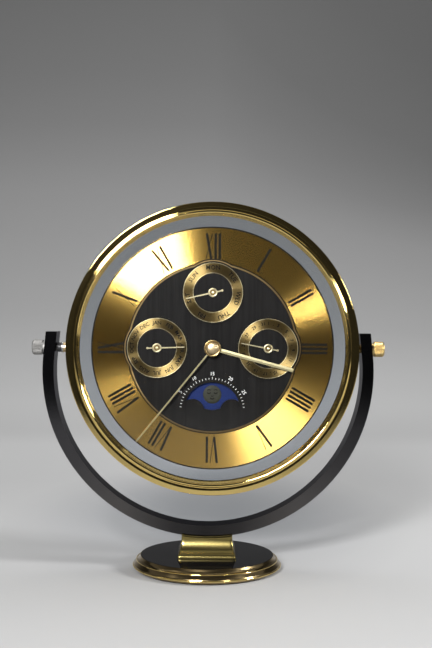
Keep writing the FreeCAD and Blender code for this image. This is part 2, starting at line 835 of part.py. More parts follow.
def make_main_hands():
    """Hour and minute hands and the stepped cap over them."""
    thickness = num("hand_thickness")
    hub = num("hand_hub_radius")
    hour_front = -num("hour_hand_front")
    minute_front = -num("minute_hand_front")
    hour_hub = ring(hub, num("pipe_radius"), hour_front, hour_front + thickness)
    hour_blade = hand_blade(num("hour_hand_length"), num("hour_hand_width"), hub - 0.3,
                            hour_front, thickness, num("hour_hand_angle"), 0.7)
    add_shape("hour_hand", hour_hub.fuse(hour_blade).removeSplitter(), pivot)
    minute_hub = rod(hub * 0.8, minute_front, minute_front + thickness)
    minute_blade = hand_blade(num("minute_hand_length"), num("minute_hand_width"), hub - 0.3,
                              minute_front, thickness, num("minute_hand_angle"), 0.7)
    add_shape("minute_hand", minute_hub.fuse(minute_blade).removeSplitter(), pivot)
    cap_back = dim("minute_hand_front")
    rim_front = cap_back + dim("cap_rim")
    turned_piece("hand_cap", "XY_Plane", [
        (0, -cap_back),
        (0, -(rim_front + dim("cap_button_height"))),
        (dim("cap_button_radius"), -(rim_front + dim("cap_button_height"))),
        (dim("cap_button_radius"), -rim_front),
        (dim("cap_radius"), -rim_front),
        (dim("cap_radius"), -cap_back),
    ], pivot)


def make_calendar_hands():
    """The three small hands, each with a hub ring and a short tail with a counterweight."""
    thickness = num("small_hand_thickness")
    front = -num("small_hand_front")
    hub = num("small_hand_hub_radius")
    width = num("small_hand_width")
    for name, x, z, angle in hands_and_holes():
        blade = hand_blade(num("small_hand_length"), width, hub - 0.3, front, thickness,
                           angle, 0.3)
        tail = hand_blade(num("small_hand_tail"), width * 1.6, hub - 0.3, front, thickness,
                          angle + 180, 1.0)
        disc = rod(hub, front, front + thickness)
        add_shape(name + "_hand", disc.fuse([blade, tail]).removeSplitter(),
                  (pivot[0] + x, 0, pivot[2] + z))


def corrector_places():
    """Each corrector button: name, place from the head's centre, leaf direction."""
    across = dim("corrector_offset_across")
    along = dim("corrector_offset_along")
    return (("weekday", -along, across, -1),
            ("date", across, along, 1),
            ("month", -across, along, -1),
            ("moon", dim("moon_corrector_across"), -dim("moon_corrector_drop"), 1))


def make_tray():
    """Shallow tray behind the dial that carries every arbor and clamps the rear glass."""
    tray = new_body("works_tray", pivot)
    block = new_sketch(tray, "XZ_Plane", -tray_back)
    add_clipped_square(block, tray_half, tray_corner)
    pad(tray, block, tray_back - dim("dial_back"))
    document.recompute()
    recess = new_sketch(tray, "XZ_Plane", -dim("dial_back"))
    add_clipped_square(recess, tray_half - dim("tray_wall"),
                       tray_corner - dim("tray_wall") * math.tan(math.pi / 8))
    pocket(tray, recess, tray_inside - dim("dial_back"))
    arbor_bore = dim("arbor_radius") + dim("arbor_fit")
    bores = new_sketch(tray, "XZ_Plane", -tray_inside)
    for _, x, z, _ in hands_and_holes():
        add_eight_sided_bore(bores, x, z, arbor_bore)
    add_eight_sided_bore(bores, 0, -dim("moon_distance"), arbor_bore)
    add_eight_sided_bore(bores, day_across, day_across, arbor_bore)
    add_eight_sided_bore(bores, day_across, -day_across, arbor_bore)
    add_eight_sided_bore(bores, 0, 0, dim("centre_arbor_radius") + dim("pipe_fit"))
    add_eight_sided_bore(bores, -dim("motion_centre_distance"), 0,
                         dim("setting_arbor_radius") + dim("arbor_fit"))
    pocket(tray, bores, dim("tray_floor"))


def make_motion_works():
    """Cannon pinion, minute wheel, hour wheel and the two wheels that turn once a day."""
    distance = num("motion_centre_distance")
    cannon, wheel = int(num("cannon_teeth")), int(num("minute_wheel_teeth"))
    pinion, hour = int(num("minute_pinion_teeth")), int(num("hour_wheel_teeth"))
    drive, day = int(num("day_drive_teeth")), int(num("day_wheel_teeth"))
    front = num("motion_wheel_front")
    thickness = num("motion_wheel_thickness")
    hour_front = num("hour_wheel_front")
    hour_thickness = num("hour_wheel_thickness")
    day_front = num("day_wheel_front")
    day_thickness = num("day_wheel_thickness")

    arbor = rod(num("centre_arbor_radius"), num("hand_thickness") - num("minute_hand_front"),
                tray_back.value + num("tray_floor"))
    cannon_phase = 270
    cannon_gear = gear(cannon, distance * cannon / (cannon + wheel), front, thickness,
                       cannon_phase)
    add_shape("centre_arbor", arbor.fuse(cannon_gear).removeSplitter(), pivot)

    minute_gear = gear(wheel, distance * wheel / (cannon + wheel), front, thickness,
                       mesh_phase(wheel, cannon, cannon_phase, 270))
    minute_pinion = gear(pinion, distance * pinion / (pinion + hour), hour_front,
                         front - hour_front, mesh_phase(pinion, hour, cannon_phase, 270))
    stem = rod(num("setting_arbor_radius"), front, num("cover_back") + num("setting_knob_gap"))
    add_shape("minute_wheel",
              minute_gear.fuse([minute_pinion, stem]).removeSplitter(),
              (pivot[0] - dim("motion_centre_distance"), 0, pivot[2]))

    pipe_end = front - 0.15
    hour_gear = gear(hour, distance * hour / (pinion + hour), hour_front, hour_thickness,
                     cannon_phase)
    drive_gear = gear(drive, num("day_centre_distance") * drive / (drive + day), day_front,
                      hour_front - day_front, 45)
    pipe = rod(num("pipe_radius"), -num("hour_hand_front"), pipe_end)
    bore = rod(num("centre_arbor_radius") + num("pipe_fit"), -num("hour_hand_front") - 1,
               pipe_end + 1)
    hour_wheel = pipe.fuse([hour_gear, drive_gear]).removeSplitter().cut(bore)
    add_shape("hour_wheel", hour_wheel, pivot)

    day_radius = num("day_centre_distance") * day / (drive + day)
    star_front = num("star_front")
    half_width = num("finger_width") / 2
    for label, direction, finger_angle, reach in (
            ("day_wheel", 45, 90, num("day_finger_reach")),
            ("moon_drive_wheel", 135, 90, num("moon_finger_reach"))):
        wheel_shape = gear(day, day_radius, day_front, day_thickness,
                           mesh_phase(day, drive, 45, direction))
        post = rod(num("arbor_radius"), day_front, tray_back.value)
        along = clock_point(1.0, finger_angle)
        across = clock_point(1.0, finger_angle + 90)
        level = Vector(0, star_front, 0)
        finger = plate([level - across * half_width, level + across * half_width,
                        level + across * half_width * 0.7 + along * (reach - 1),
                        level + along * reach - across * half_width * 0.3,
                        level - across * half_width + along * (reach - 1)],
                       day_front - star_front)
        shape = wheel_shape.fuse([post, finger]).removeSplitter()
        side = 1 if direction < 90 else -1
        add_shape(label, shape, (pivot[0] + day_across, 0, pivot[2] + day_across * side))


def jumper(radius, depth, front, thickness, nose_angle):
    """Sprung arm whose nose rests in a star's gap, drawn about the star's centre."""
    width = num("jumper_width")
    length = num("jumper_length")
    clear = num("jumper_clearance")
    along = clock_point(1.0, nose_angle)
    across = clock_point(1.0, nose_angle + 90)
    level = Vector(0, front, 0)
    nose = level + along * (radius - depth + clear * 2)
    near = level + along * (radius + clear * 2)
    far = near + along * width
    half = depth * 0.35
    outline = [nose, near + across * half, near + across * length, far + across * length,
               far - across * half, near - across * half]
    foot_start = near + across * (length - num("jumper_foot_length"))
    foot_end = near + across * length
    foot = plate([foot_start, foot_end, foot_end + along * width, foot_start + along * width],
                 tray_inside.value - front)
    return plate(outline, thickness).fuse(foot).removeSplitter()


def make_calendar():
    """Star wheels under the subdials, the toothed moon disc, and the jumper of each."""
    front = num("star_front")
    thickness = num("star_thickness")
    radius = num("star_radius")
    arbor = num("arbor_radius")
    nose = {"weekday": 300, "month": 300, "date": 60}
    for name, x, z, _ in hands_and_holes():
        teeth = int(num(name + "_teeth"))
        depth = num(name + "_tooth_depth")
        wheel = star(teeth, radius, depth, front, thickness, nose[name])
        post = rod(arbor, num("small_hand_thickness") - num("small_hand_front"),
                   tray_back.value)
        place = (pivot[0] + x, 0, pivot[2] + z)
        add_shape(name + "_star", wheel.fuse(post).removeSplitter(), place)
        add_shape(name + "_jumper", jumper(radius, depth, front, thickness, nose[name]), place)
    moon_place = (pivot[0], 0, pivot[2] - dim("moon_distance"))
    disc = star(int(num("moon_teeth")), num("moon_disc_radius"), num("moon_tooth_depth"),
                front, thickness, 230)
    post = rod(arbor, front, tray_back.value)
    add_shape("moon_disc", disc.fuse(post).removeSplitter(), moon_place)
    add_shape("moon_jumper", jumper(num("moon_disc_radius"), num("moon_tooth_depth"), front,
                                    thickness, 230), moon_place)


def make_movement():
    """Quartz movement block with its battery bay, the cell and its two spring contacts."""
    bay_radius = dim("battery_radius") + dim("battery_clearance")
    front = tray_back
    back = tray_back + dim("movement_depth")
    axis_station = back - dim("battery_radius") - dim("battery_clearance")
    body = new_body("movement_housing", pivot)
    block = new_sketch(body, "XZ_Plane", -back)
    add_rectangle(block, -movement_half, -movement_half, movement_half, movement_half)
    pad(body, block, dim("movement_depth"))
    document.recompute()
    bay = new_sketch(body, "XZ_Plane", -(axis_station - bay_radius))
    drop = -dim("battery_drop")
    add_rectangle(bay, -battery_bay_half, drop - bay_radius, battery_bay_half,
                  drop + bay_radius)
    pocket(body, bay, bay_radius * 2)
    centre_bore = new_sketch(body, "XZ_Plane", -front)
    add_eight_sided_bore(centre_bore, 0, 0,
                         dim("centre_arbor_radius") + dim("dial_hole_clearance"))
    pocket(body, centre_bore, dim("tray_floor") * 2)
    stem_bore = new_sketch(body, "XZ_Plane", -front)
    add_eight_sided_bore(stem_bore, -dim("motion_centre_distance"), 0,
                         dim("setting_arbor_radius") + dim("dial_hole_clearance"))
    pocket(body, stem_bore, dim("movement_depth"))

    cell_start = -num("battery_length") / 2
    cell = Part.makeCylinder(num("battery_radius"), num("battery_length"),
                             Vector(cell_start, 0, 0), Vector(1, 0, 0))
    add_shape("battery", cell, (pivot[0], axis_station, pivot[2] + drop))
    width = num("contact_width")
    contacts = []
    for side in (-1, 1):
        near = side * (-cell_start + num("battery_clearance") / 2)
        tab = Part.makeBox(num("contact_thickness"), num("battery_radius") * 1.6, width)
        shift = near if side > 0 else near - num("contact_thickness")
        tab.translate(Vector(shift, -num("battery_radius") * 0.8, -width / 2))
        contacts.append(tab)
    add_shape("battery_contacts", Part.makeCompound(contacts),
              (pivot[0], axis_station, pivot[2] + drop))


def make_cover():
    """Dished rear cover with its battery door, setting knob and corrector keys."""
    wall = dim("cover_wall")
    cover = new_body("rear_cover", pivot)
    outline = new_sketch(cover, "XZ_Plane", -cover_front)
    add_clipped_square(outline, tray_half, tray_corner)
    block = pad(cover, outline, dim("cover_back") - cover_front)
    block.Reversed = True
    block.setExpression("TaperAngle", "-dims.cover_draft * 1deg")
    document.recompute()
    half = movement_half + dim("cover_recess_clearance")
    recess = new_sketch(cover, "XZ_Plane", -cover_front)
    add_rectangle(recess, -half, -half, half, half)
    pocket(cover, recess, cover_inside - cover_front)
    clearance = dim("battery_door_clearance")
    half_width = movement_half - dim("battery_door_inset")
    half_height = dim("battery_door_height") / 2
    drop = -dim("battery_drop")
    holes = new_sketch(cover, "XZ_Plane", -cover_inside)
    add_rectangle(holes, -half_width - clearance, drop - half_height - clearance,
                  half_width + clearance, drop + half_height + clearance)
    add_circle(holes, -dim("motion_centre_distance"), 0,
               dim("setting_arbor_radius") + dim("corrector_fit"))
    pocket(cover, holes, wall)
    guides = new_sketch(cover, "XZ_Plane", -cover_front)
    guide = dim("corrector_width") / 2 + dim("corrector_fit")
    for _, x, z, _ in corrector_places():
        add_rectangle(guides, x - guide, z - guide, x + guide, z + guide)
    pocket(cover, guides, dim("cover_back") - cover_front)

    door = new_body("battery_door", pivot)
    panel = new_sketch(door, "XZ_Plane", -dim("cover_back"))
    add_rectangle(panel, -half_width, drop - half_height, half_width, drop + half_height)
    pad(door, panel, wall)
    document.recompute()
    grip = new_sketch(door, "XZ_Plane", -(dim("cover_back") + dim("battery_door_grip")))
    latch = dim("battery_door_latch") / 2
    add_rectangle(grip, -latch, drop + half_height - dim("battery_door_grip") * 3,
                  latch, drop + half_height - dim("battery_door_grip"))
    pad(door, grip, dim("battery_door_grip"))

    knob_front = num("cover_back") + num("setting_knob_gap")
    ridges = int(num("setting_knob_ridges"))
    outline = []
    for index in range(ridges * 2):
        radius = num("setting_knob_radius") - (0.0 if index % 2 else 0.35)
        outline.append(clock_point(radius, 180.0 * index / ridges, knob_front))
    add_shape("setting_knob", plate(outline, num("setting_knob_length")),
              (pivot[0] - dim("motion_centre_distance"), 0, pivot[2]))

    thickness = num("leaf_thickness")
    leaf_front = tray_back.value + num("leaf_stand_off")
    tip = leaf_front + thickness + num("leaf_gap")
    width = num("leaf_width")
    for name, x, z, side in corrector_places():
        place = (pivot[0] + x, 0, pivot[2] + z)
        key_width = num("corrector_width")
        foot_width = num("corrector_foot_width")
        key = Part.makeBox(key_width, num("cover_back") + num("corrector_proud") - tip,
                           key_width, Vector(-key_width / 2, tip, -key_width / 2))
        foot = Part.makeBox(foot_width, num("corrector_foot"), foot_width,
                            Vector(-foot_width / 2, tip, -foot_width / 2))
        add_shape(name + "_corrector", key.fuse(foot).removeSplitter(), place)
        strip = Part.makeBox(num("leaf_length"), thickness, width,
                             Vector(-width / 2, leaf_front, -width / 2))
        block = Part.makeBox(width, num("leaf_stand_off"), width,
                             Vector(num("leaf_length") - width * 1.5, tray_back.value,
                                    -width / 2))
        leaf = strip.fuse(block).removeSplitter()
        if side < 0:
            leaf = leaf.mirror(Vector(0, 0, 0), Vector(1, 0, 0))
        add_shape(name + "_return_leaf", leaf, place)


def export_parts():
    """Check every object, then write one STEP file for each sub-part."""
    document.recompute()
    for item in document.Objects:
        if "Invalid" in item.State or "Error" in item.State:
            raise RuntimeError("%s failed: %s" % (item.Name, item.State))
    for item in SUBPARTS:
        if item.Shape.isNull() or not item.Shape.isValid():
            raise RuntimeError("%s has no valid shape" % item.Label)
    os.makedirs("parts", exist_ok=True)
    for item in SUBPARTS:
        item.Shape.exportStep(os.path.join("parts", item.Label + ".step"))


make_base()
make_pedestal()
make_yoke()
make_case()
make_pivots()
make_dial()
make_main_hands()
make_calendar_hands()
make_tray()
make_motion_works()
make_calendar()
make_movement()
make_cover()
export_parts()
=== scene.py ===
"""Looks of the desk clock with calendar.

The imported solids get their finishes. Turned rims, knobs, hands and dial rings take the place of the
solids that need a finer shape, and the printing, the moon and the screws are added. Then come the
paper, the lights and the camera. Shapes are in millimetres, all else is in metres.
"""
import math

import bmesh
import bpy
from mathutils import Matrix, Vector


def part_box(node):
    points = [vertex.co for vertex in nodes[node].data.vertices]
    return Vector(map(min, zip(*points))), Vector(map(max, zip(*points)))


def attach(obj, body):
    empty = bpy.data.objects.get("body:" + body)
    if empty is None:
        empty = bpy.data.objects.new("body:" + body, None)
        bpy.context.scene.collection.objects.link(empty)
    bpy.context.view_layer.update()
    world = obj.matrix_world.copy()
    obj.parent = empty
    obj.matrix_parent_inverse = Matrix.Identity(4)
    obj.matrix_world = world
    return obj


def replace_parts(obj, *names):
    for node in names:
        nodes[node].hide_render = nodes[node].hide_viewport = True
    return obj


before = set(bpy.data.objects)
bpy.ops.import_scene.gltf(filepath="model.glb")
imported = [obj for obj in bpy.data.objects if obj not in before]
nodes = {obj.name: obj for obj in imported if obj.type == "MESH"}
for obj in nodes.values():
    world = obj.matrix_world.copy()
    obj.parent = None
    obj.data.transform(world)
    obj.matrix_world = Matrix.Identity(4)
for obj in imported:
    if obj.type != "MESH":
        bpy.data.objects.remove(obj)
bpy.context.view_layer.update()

MM = 0.001
STAND = Vector((0.0, 0.0, 0.0))   # middle of the base, on the table
HEAD = Vector((2.2, 0.0, 114.0))  # centre of the dial, on the line of the pivots
DIAL_FRONT = -0.4                 # y of the chapter ring's face
PLATE_FRONT = -1.0                # y of the black centre plate's face
SUBDIAL_FRONT = -1.5              # y of the subdials' faces
SUBDIAL_DISTANCE = 28.8           # from the dial's centre to a subdial's centre
SUBDIALS = {"weekday": 0.0, "date": 90.0, "month": 270.0}  # degrees clockwise from the top
MOON_DROP = 32.2                  # from the dial's centre down to the moon disc's centre
MOON = HEAD + Vector((0, 0, -MOON_DROP))


# Shapes

def add_to_scene(obj):
    bpy.context.scene.collection.objects.link(obj)
    return obj


def link(obj, body, material):
    """Puts a finished piece in the scene, riding on its body."""
    add_to_scene(obj)
    obj.data.materials.clear()
    obj.data.materials.append(material)
    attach(obj, body)
    return obj


def mesh_from_mm(name, bm):
    for vert in bm.verts:
        vert.co *= MM
    mesh = bpy.data.meshes.new(name)
    bm.to_mesh(mesh)
    bm.free()
    return mesh


def mesh_piece(name, bm, body, material, sharp=35.0, smooth=True):
    """A piece from a bmesh, shaded smooth except over edges sharper than an angle in degrees."""
    bmesh.ops.recalc_face_normals(bm, faces=bm.faces)
    mesh = mesh_from_mm(name, bm)
    mesh.polygons.foreach_set("use_smooth", [smooth] * len(mesh.polygons))
    if smooth:
        mesh.set_sharp_from_angle(angle=math.radians(sharp))
    return link(bpy.data.objects.new(name, mesh), body, material)


def box_mm(node):
    """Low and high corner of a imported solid's box, in mm."""
    low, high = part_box(node)
    return low / MM, high / MM


def clock_point(radius, clockwise):
    """(x, z) at an angle in degrees clockwise from the top, seen from the front."""
    a = math.radians(clockwise)
    return radius * math.sin(a), radius * math.cos(a)


def on_dial(radius, clockwise, y, centre=HEAD):
    x, z = clock_point(radius, clockwise)
    return Vector((centre.x + x, centre.y + y, centre.z + z))


def turned_points(points, clockwise):
    """Turns (x, z) points clockwise about the origin."""
    a = math.radians(clockwise)
    c, s = math.cos(a), math.sin(a)
    return [(x * c + z * s, -x * s + z * c) for x, z in points]


def arc(centre_r, centre_y, radius, start, end, steps):
    """Points on an arc of a profile, angles in degrees from +radius towards +along."""
    made = []
    for k in range(steps + 1):
        a = math.radians(start + (end - start) * k / steps)
        made.append((centre_r + radius * math.cos(a), centre_y + radius * math.sin(a)))
    return made


def kept_flat(profile, least=0.55, margin=0.1):
    """Adds points near the ends of long runs, so that smooth shading leaves the runs flat."""
    made = []
    for (r1, y1), (r2, y2) in zip(profile, profile[1:] + profile[:1]):
        made.append((r1, y1))
        length = math.hypot(r2 - r1, y2 - y1)
        if length > least:
            for part in (margin / length, 1 - margin / length):
                made.append((r1 + (r2 - r1) * part, y1 + (y2 - y1) * part))
    return made


def lathe(bm, profile, centre, axis, segments, ripple=None):
    """Turns closed (radius, along) points about an axis; ripple(radius, along, angle) varies
    the radius round the turn."""
    rings = []
    profile = kept_flat(profile)
    for k in range(segments):
        a = 2 * math.pi * k / segments
        ring = []
        for radius, along in profile:
            r = radius if ripple is None else ripple(radius, along, a)
            u, v = r * math.sin(a), r * math.cos(a)
            offset = {"X": (along, u, v), "Y": (u, along, v), "Z": (u, v, along)}[axis]
            ring.append(bm.verts.new(centre + Vector(offset)))
        rings.append(ring)
    count = len(profile)
    for k in range(segments):
        here, there = rings[k], rings[(k + 1) % segments]
        for i in range(count):
            j = (i + 1) % count
            bm.faces.new((here[i], here[j], there[j], there[i]))
    bmesh.ops.remove_doubles(bm, verts=bm.verts, dist=1e-6)


def turned(name, profile, body, material, centre=HEAD, axis="Y", segments=160, sharp=35.0,
           ripple=None):
    bm = bmesh.new()
    lathe(bm, profile, centre, axis, segments, ripple)
    return mesh_piece(name, bm, body, material, sharp)


def loft(bm, sections):
    """Joins closed sections with equal counts of corners, and closes both ends."""
    count = len(sections[0])
    for low, high in zip(sections, sections[1:]):
        for i in range(count):
            j = (i + 1) % count
            bm.faces.new((low[i], low[j], high[j], high[i]))
    bm.faces.new(sections[0])
    bm.faces.new(list(reversed(sections[-1])))


def slab(bm, points, front, back, centre):
    """A flat shape of (x, z) points, from y front to y back of its centre."""
    loft(bm, [[bm.verts.new((centre.x + x, centre.y + y, centre.z + z)) for x, z in points]
              for y in (front, back)])


def rectangle(x1, x2, z1, z2):
    return [(x1, z1), (x2, z1), (x2, z2), (x1, z2)]


def stroke(x1, z1, x2, z2, width):
    """Corners of a stroke whose ends are cut level."""
    half = width / 2
    return [(x1 - half, z1), (x1 + half, z1), (x2 + half, z2), (x2 - half, z2)]


def curved_stroke(x, z, radius, width, start, end, steps=10):
    """Corners of a stroke round (x, z), angles in degrees from +x towards +z."""
    outer = arc(x, z, radius + width / 2, start, end, steps)
    inner = arc(x, z, radius - width / 2, start, end, steps)
    return outer + inner[::-1]


def knurled(radius, a, depth=0.3, grooves=30):
    """Radius with grooves cut round the turn."""
    return radius - depth * (1 - abs(math.cos(a * grooves / 2)))


def words(name, items, body, material, height, front, depth, centre, bold=0.0):
    """Printed words or numbers, (text, x, z, degrees clockwise) each, made as one thin relief."""
    bm = bmesh.new()
    for text, x, z, clockwise in items:
        curve = bpy.data.curves.new(name, "FONT")
        curve.body = text
        curve.size = height
        curve.align_x = "CENTER"
        curve.align_y = "CENTER"
        curve.extrude = depth / 2
        curve.resolution_u = 2
        curve.offset = bold
        obj = bpy.data.objects.new(name, curve)
        made = bpy.data.meshes.new_from_object(obj)
        a = math.radians(clockwise)
        c, s = math.cos(a), math.sin(a)
        made.transform(Matrix(((c, s, 0, centre.x + x),
                               (0, 0, -1, centre.y + front),
                               (-s, c, 0, centre.z + z),
                               (0, 0, 0, 1))))
        bm.from_mesh(made)
        bpy.data.meshes.remove(made)
        bpy.data.objects.remove(obj)
        bpy.data.curves.remove(curve)
    link(bpy.data.objects.new(name, mesh_from_mm(name, bm)), body, material)


# Nodes and finishes

def new_material(name):
    made = bpy.data.materials.new(name)
    made.use_nodes = True
    tree = made.node_tree
    tree.nodes.clear()
    out = tree.nodes.new("ShaderNodeOutputMaterial")
    shader = tree.nodes.new("ShaderNodeBsdfPrincipled")
    tree.links.new(shader.outputs[0], out.inputs["Surface"])
    return made, tree, shader, out


def inputs_of(material):
    return material.node_tree.nodes["Principled BSDF"].inputs


def coordinates(tree, kind="Object"):
    """X, Y and Z of the point being shaded, as sockets."""
    coords = tree.nodes.new("ShaderNodeTexCoord")
    parts = tree.nodes.new("ShaderNodeSeparateXYZ")
    tree.links.new(coords.outputs[kind], parts.inputs[0])
    return parts.outputs


def object_space(tree, scale=(1.0, 1.0, 1.0)):
    coords = tree.nodes.new("ShaderNodeTexCoord")
    mapping = tree.nodes.new("ShaderNodeMapping")
    mapping.inputs["Scale"].default_value = scale
    tree.links.new(coords.outputs["Object"], mapping.inputs["Vector"])
    return mapping.outputs[0]


def math_node(tree, operation, *values):
    made = tree.nodes.new("ShaderNodeMath")
    made.operation = operation
    for socket, value in zip(made.inputs, values):
        if isinstance(value, (int, float)):
            socket.default_value = value
        else:
            tree.links.new(value, socket)
    return made.outputs[0]


def squared(tree, value):
    return math_node(tree, "MULTIPLY", value, value)


def product(tree, first, second):
    """Two colours multiplied."""
    made = tree.nodes.new("ShaderNodeVectorMath")
    made.operation = "MULTIPLY"
    tree.links.new(first, made.inputs[0])
    tree.links.new(second, made.inputs[1])
    return made.outputs[0]


def ramp(tree, factor, stops):
    made = tree.nodes.new("ShaderNodeValToRGB")
    elements = made.color_ramp.elements
    while len(elements) < len(stops):
        elements.new(0.5)
    for element, (place, colour) in zip(elements, stops):
        element.position = place
        element.color = (*colour, 1.0)
    tree.links.new(factor, made.inputs[0])
    return made.outputs[0]


def greys(stops):
    return [(place, (grey, grey, grey)) for place, grey in stops]


def shades(colour, low, high):
    """Ramp stops from a darker to a lighter shade of a colour."""
    return [(0.0, tuple(c * low for c in colour)), (1.0, tuple(min(1.0, c * high) for c in colour))]


def noise(tree, vector, scale, detail, dimensions="3D", rough=0.5):
    made = tree.nodes.new("ShaderNodeTexNoise")
    made.noise_dimensions = dimensions
    made.inputs["Scale"].default_value = scale
    made.inputs["Detail"].default_value = detail
    made.inputs["Roughness"].default_value = rough
    tree.links.new(vector, made.inputs["W" if dimensions == "1D" else "Vector"])
    return made.outputs["Fac"]


def span(tree, value, low, high):
    """A value from 0 to 1, taken to the range from low to high."""
    made = tree.nodes.new("ShaderNodeMapRange")
    made.inputs["To Min"].default_value = low
    made.inputs["To Max"].default_value = high
    tree.links.new(value, made.inputs["Value"])
    return made.outputs[0]


def bump(tree, shader, height, strength, distance):
    made = tree.nodes.new("ShaderNodeBump")
    made.inputs["Strength"].default_value = strength
    made.inputs["Distance"].default_value = distance
    tree.links.new(height, made.inputs["Height"])
    tree.links.new(made.outputs[0], shader.inputs["Normal"])


def mixed(tree, amount, first, second):
    """Two shaders mixed."""
    made = tree.nodes.new("ShaderNodeMixShader")
    for socket, source in zip(made.inputs, (amount, first, second)):
        tree.links.new(source, socket)
    return made.outputs[0]


def seen_as(tree, seen, others):
    """The shader seen for camera rays and rays through glass, and others for the rest."""
    ray = tree.nodes.new("ShaderNodeLightPath")
    direct = math_node(tree, "MAXIMUM", ray.outputs["Is Camera Ray"],
                       ray.outputs["Is Transmission Ray"])
    return mixed(tree, direct, others, seen)


def polished(name, colour, rough, variation, scale=160.0, wear=0.00001):
    """Polished metal with faint cloudy variation and fine wipe marks."""
    made, tree, shader, _ = new_material(name)
    clouds = noise(tree, object_space(tree), scale, 4.0)
    tree.links.new(ramp(tree, clouds, shades(colour, 0.92, 1.06)), shader.inputs["Base Color"])
    fine = noise(tree, object_space(tree, (1.0, 1.0, 6.0)), scale * 4, 5.0)
    tree.links.new(span(tree, fine, rough, rough + variation), shader.inputs["Roughness"])
    shader.inputs["Metallic"].default_value = 1.0
    bump(tree, shader, fine, 0.25, wear)
    return made


def brushed(name, colour, stretch, rough, line_scale, low=0.8, high=1.1, metallic=1.0,
            depth=0.00002):
    """Metal or lacquer with straight brush lines; stretch is small along the lines."""
    made, tree, shader, _ = new_material(name)
    lines = noise(tree, object_space(tree, stretch), line_scale, 6.0, rough=0.7)
    tree.links.new(ramp(tree, lines, shades(colour, low, high)), shader.inputs["Base Color"])
    tree.links.new(span(tree, lines, rough * 0.75, rough * 1.25), shader.inputs["Roughness"])
    shader.inputs["Metallic"].default_value = metallic
    bump(tree, shader, lines, 0.3, depth)
    return made


def turned_metal(name, colour, centre, rough, lines, low, high):
    """Metal with circular brush lines round a point of the dial's plane."""
    made, tree, shader, _ = new_material(name)
    parts = coordinates(tree)
    across = math_node(tree, "SUBTRACT", parts["X"], centre.x * MM)
    upward = math_node(tree, "SUBTRACT", parts["Z"], centre.z * MM)
    distance = math_node(tree, "SQRT", math_node(tree, "ADD", squared(tree, across),
                                                 squared(tree, upward)))
    rings = noise(tree, distance, lines, 4.0, "1D", 0.6)
    tree.links.new(ramp(tree, rings, shades(colour, low, high)), shader.inputs["Base Color"])
    tree.links.new(span(tree, rings, rough * 0.85, rough * 1.15), shader.inputs["Roughness"])
    shader.inputs["Metallic"].default_value = 1.0
    shader.inputs["Anisotropic"].default_value = 1.0
    shader.inputs["Anisotropic Rotation"].default_value = 0.25
    tangent = tree.nodes.new("ShaderNodeTangent")
    tangent.direction_type = "RADIAL"
    tangent.axis = "Y"
    tree.links.new(tangent.outputs[0], shader.inputs["Tangent"])
    return made


def plastic(name, colour, rough, grain=1800.0, depth=0.00003, ior=1.5):
    """Plastic, lacquer, ink or felt with a fine grain."""
    made, tree, shader, _ = new_material(name)
    speckle = noise(tree, object_space(tree), grain, 3.0)
    tree.links.new(ramp(tree, speckle, shades(colour, 0.8, 1.25)), shader.inputs["Base Color"])
    tree.links.new(span(tree, speckle, rough * 0.85, rough * 1.2), shader.inputs["Roughness"])
    bump(tree, shader, speckle, 0.5, depth)
    shader.inputs["IOR"].default_value = ior
    return made


def clear_glass(name, tint, gloss):
    """A clear pane: lets the view through with a faint tint, and mirrors more at a slant."""
    made, tree, shader, out = new_material(name)
    tree.nodes.remove(shader)
    through = tree.nodes.new("ShaderNodeBsdfTransparent")
    smudge = noise(tree, object_space(tree), 35.0, 3.0)
    tree.links.new(ramp(tree, smudge, shades(tint, 0.985, 1.0)), through.inputs["Color"])
    mirror = tree.nodes.new("ShaderNodeBsdfGlossy")
    mirror.inputs["Roughness"].default_value = 0.04
    mirror.inputs["Color"].default_value = (1, 1, 1, 1)
    facing = tree.nodes.new("ShaderNodeFresnel")
    facing.inputs["IOR"].default_value = 1.45
    amount = math_node(tree, "MULTIPLY", facing.outputs[0], gloss)
    tree.links.new(mixed(tree, amount, through.outputs[0], mirror.outputs[0]),
                   out.inputs["Surface"])
    return made


def tone_by_place(material, aside_stops, up_stops):
    """Painted reflections and shade: the colour times ramps over distance from the middle and height.
    """
    tree = material.node_tree
    parts = coordinates(tree)
    aside = math_node(tree, "MULTIPLY", math_node(tree, "ABSOLUTE", parts["X"]), REFLECTION_PER_ASIDE)
    up = math_node(tree, "MULTIPLY", parts["Z"], REFLECTION_PER_UP)
    painted_reflections = product(tree, ramp(tree, aside, aside_stops), ramp(tree, up, up_stops))
    base = inputs_of(material)["Base Color"]
    tree.links.new(product(tree, base.links[0].from_socket, painted_reflections), base)


gold = polished("polished_gold", (0.80, 0.60, 0.22), 0.05, 0.03)
gold_satin = polished("satin_gold", (0.80, 0.60, 0.22), 0.2, 0.06, wear=0.000002)
gold_pale = polished("pale_gold", (0.86, 0.75, 0.42), 0.25, 0.1)
rim_gold = polished("rim_gold", (0.24, 0.165, 0.07), 0.25, 0.1)
small_gold = polished("small_hand_gold", (0.46, 0.395, 0.24), 0.3, 0.1)
hub_gold = polished("hub_gold", (0.62, 0.47, 0.27), 0.33, 0.08)
knob_gold = polished("knob_gold", (0.45, 0.33, 0.14), 0.2, 0.06)
stand_gold = brushed("stand_gold", (0.24, 0.192, 0.068), (0.04, 1.0, 1.0), 0.24, 900.0,
                     0.7, 1.15, depth=0.00001)
rim_bronze = polished("rim_bronze", (0.34, 0.25, 0.12), 0.14, 0.05)
gold_dial = turned_metal("dial_gold", (0.84, 0.53, 0.13), HEAD, 0.24, 2500.0, 0.86, 1.12)
silver = polished("silver", (0.29, 0.285, 0.275), 0.58, 0.1)
steel = polished("spring_steel", (0.55, 0.55, 0.56), 0.25, 0.1, 300.0)
dark_steel = polished("dark_steel", (0.12, 0.12, 0.12), 0.3, 0.1)
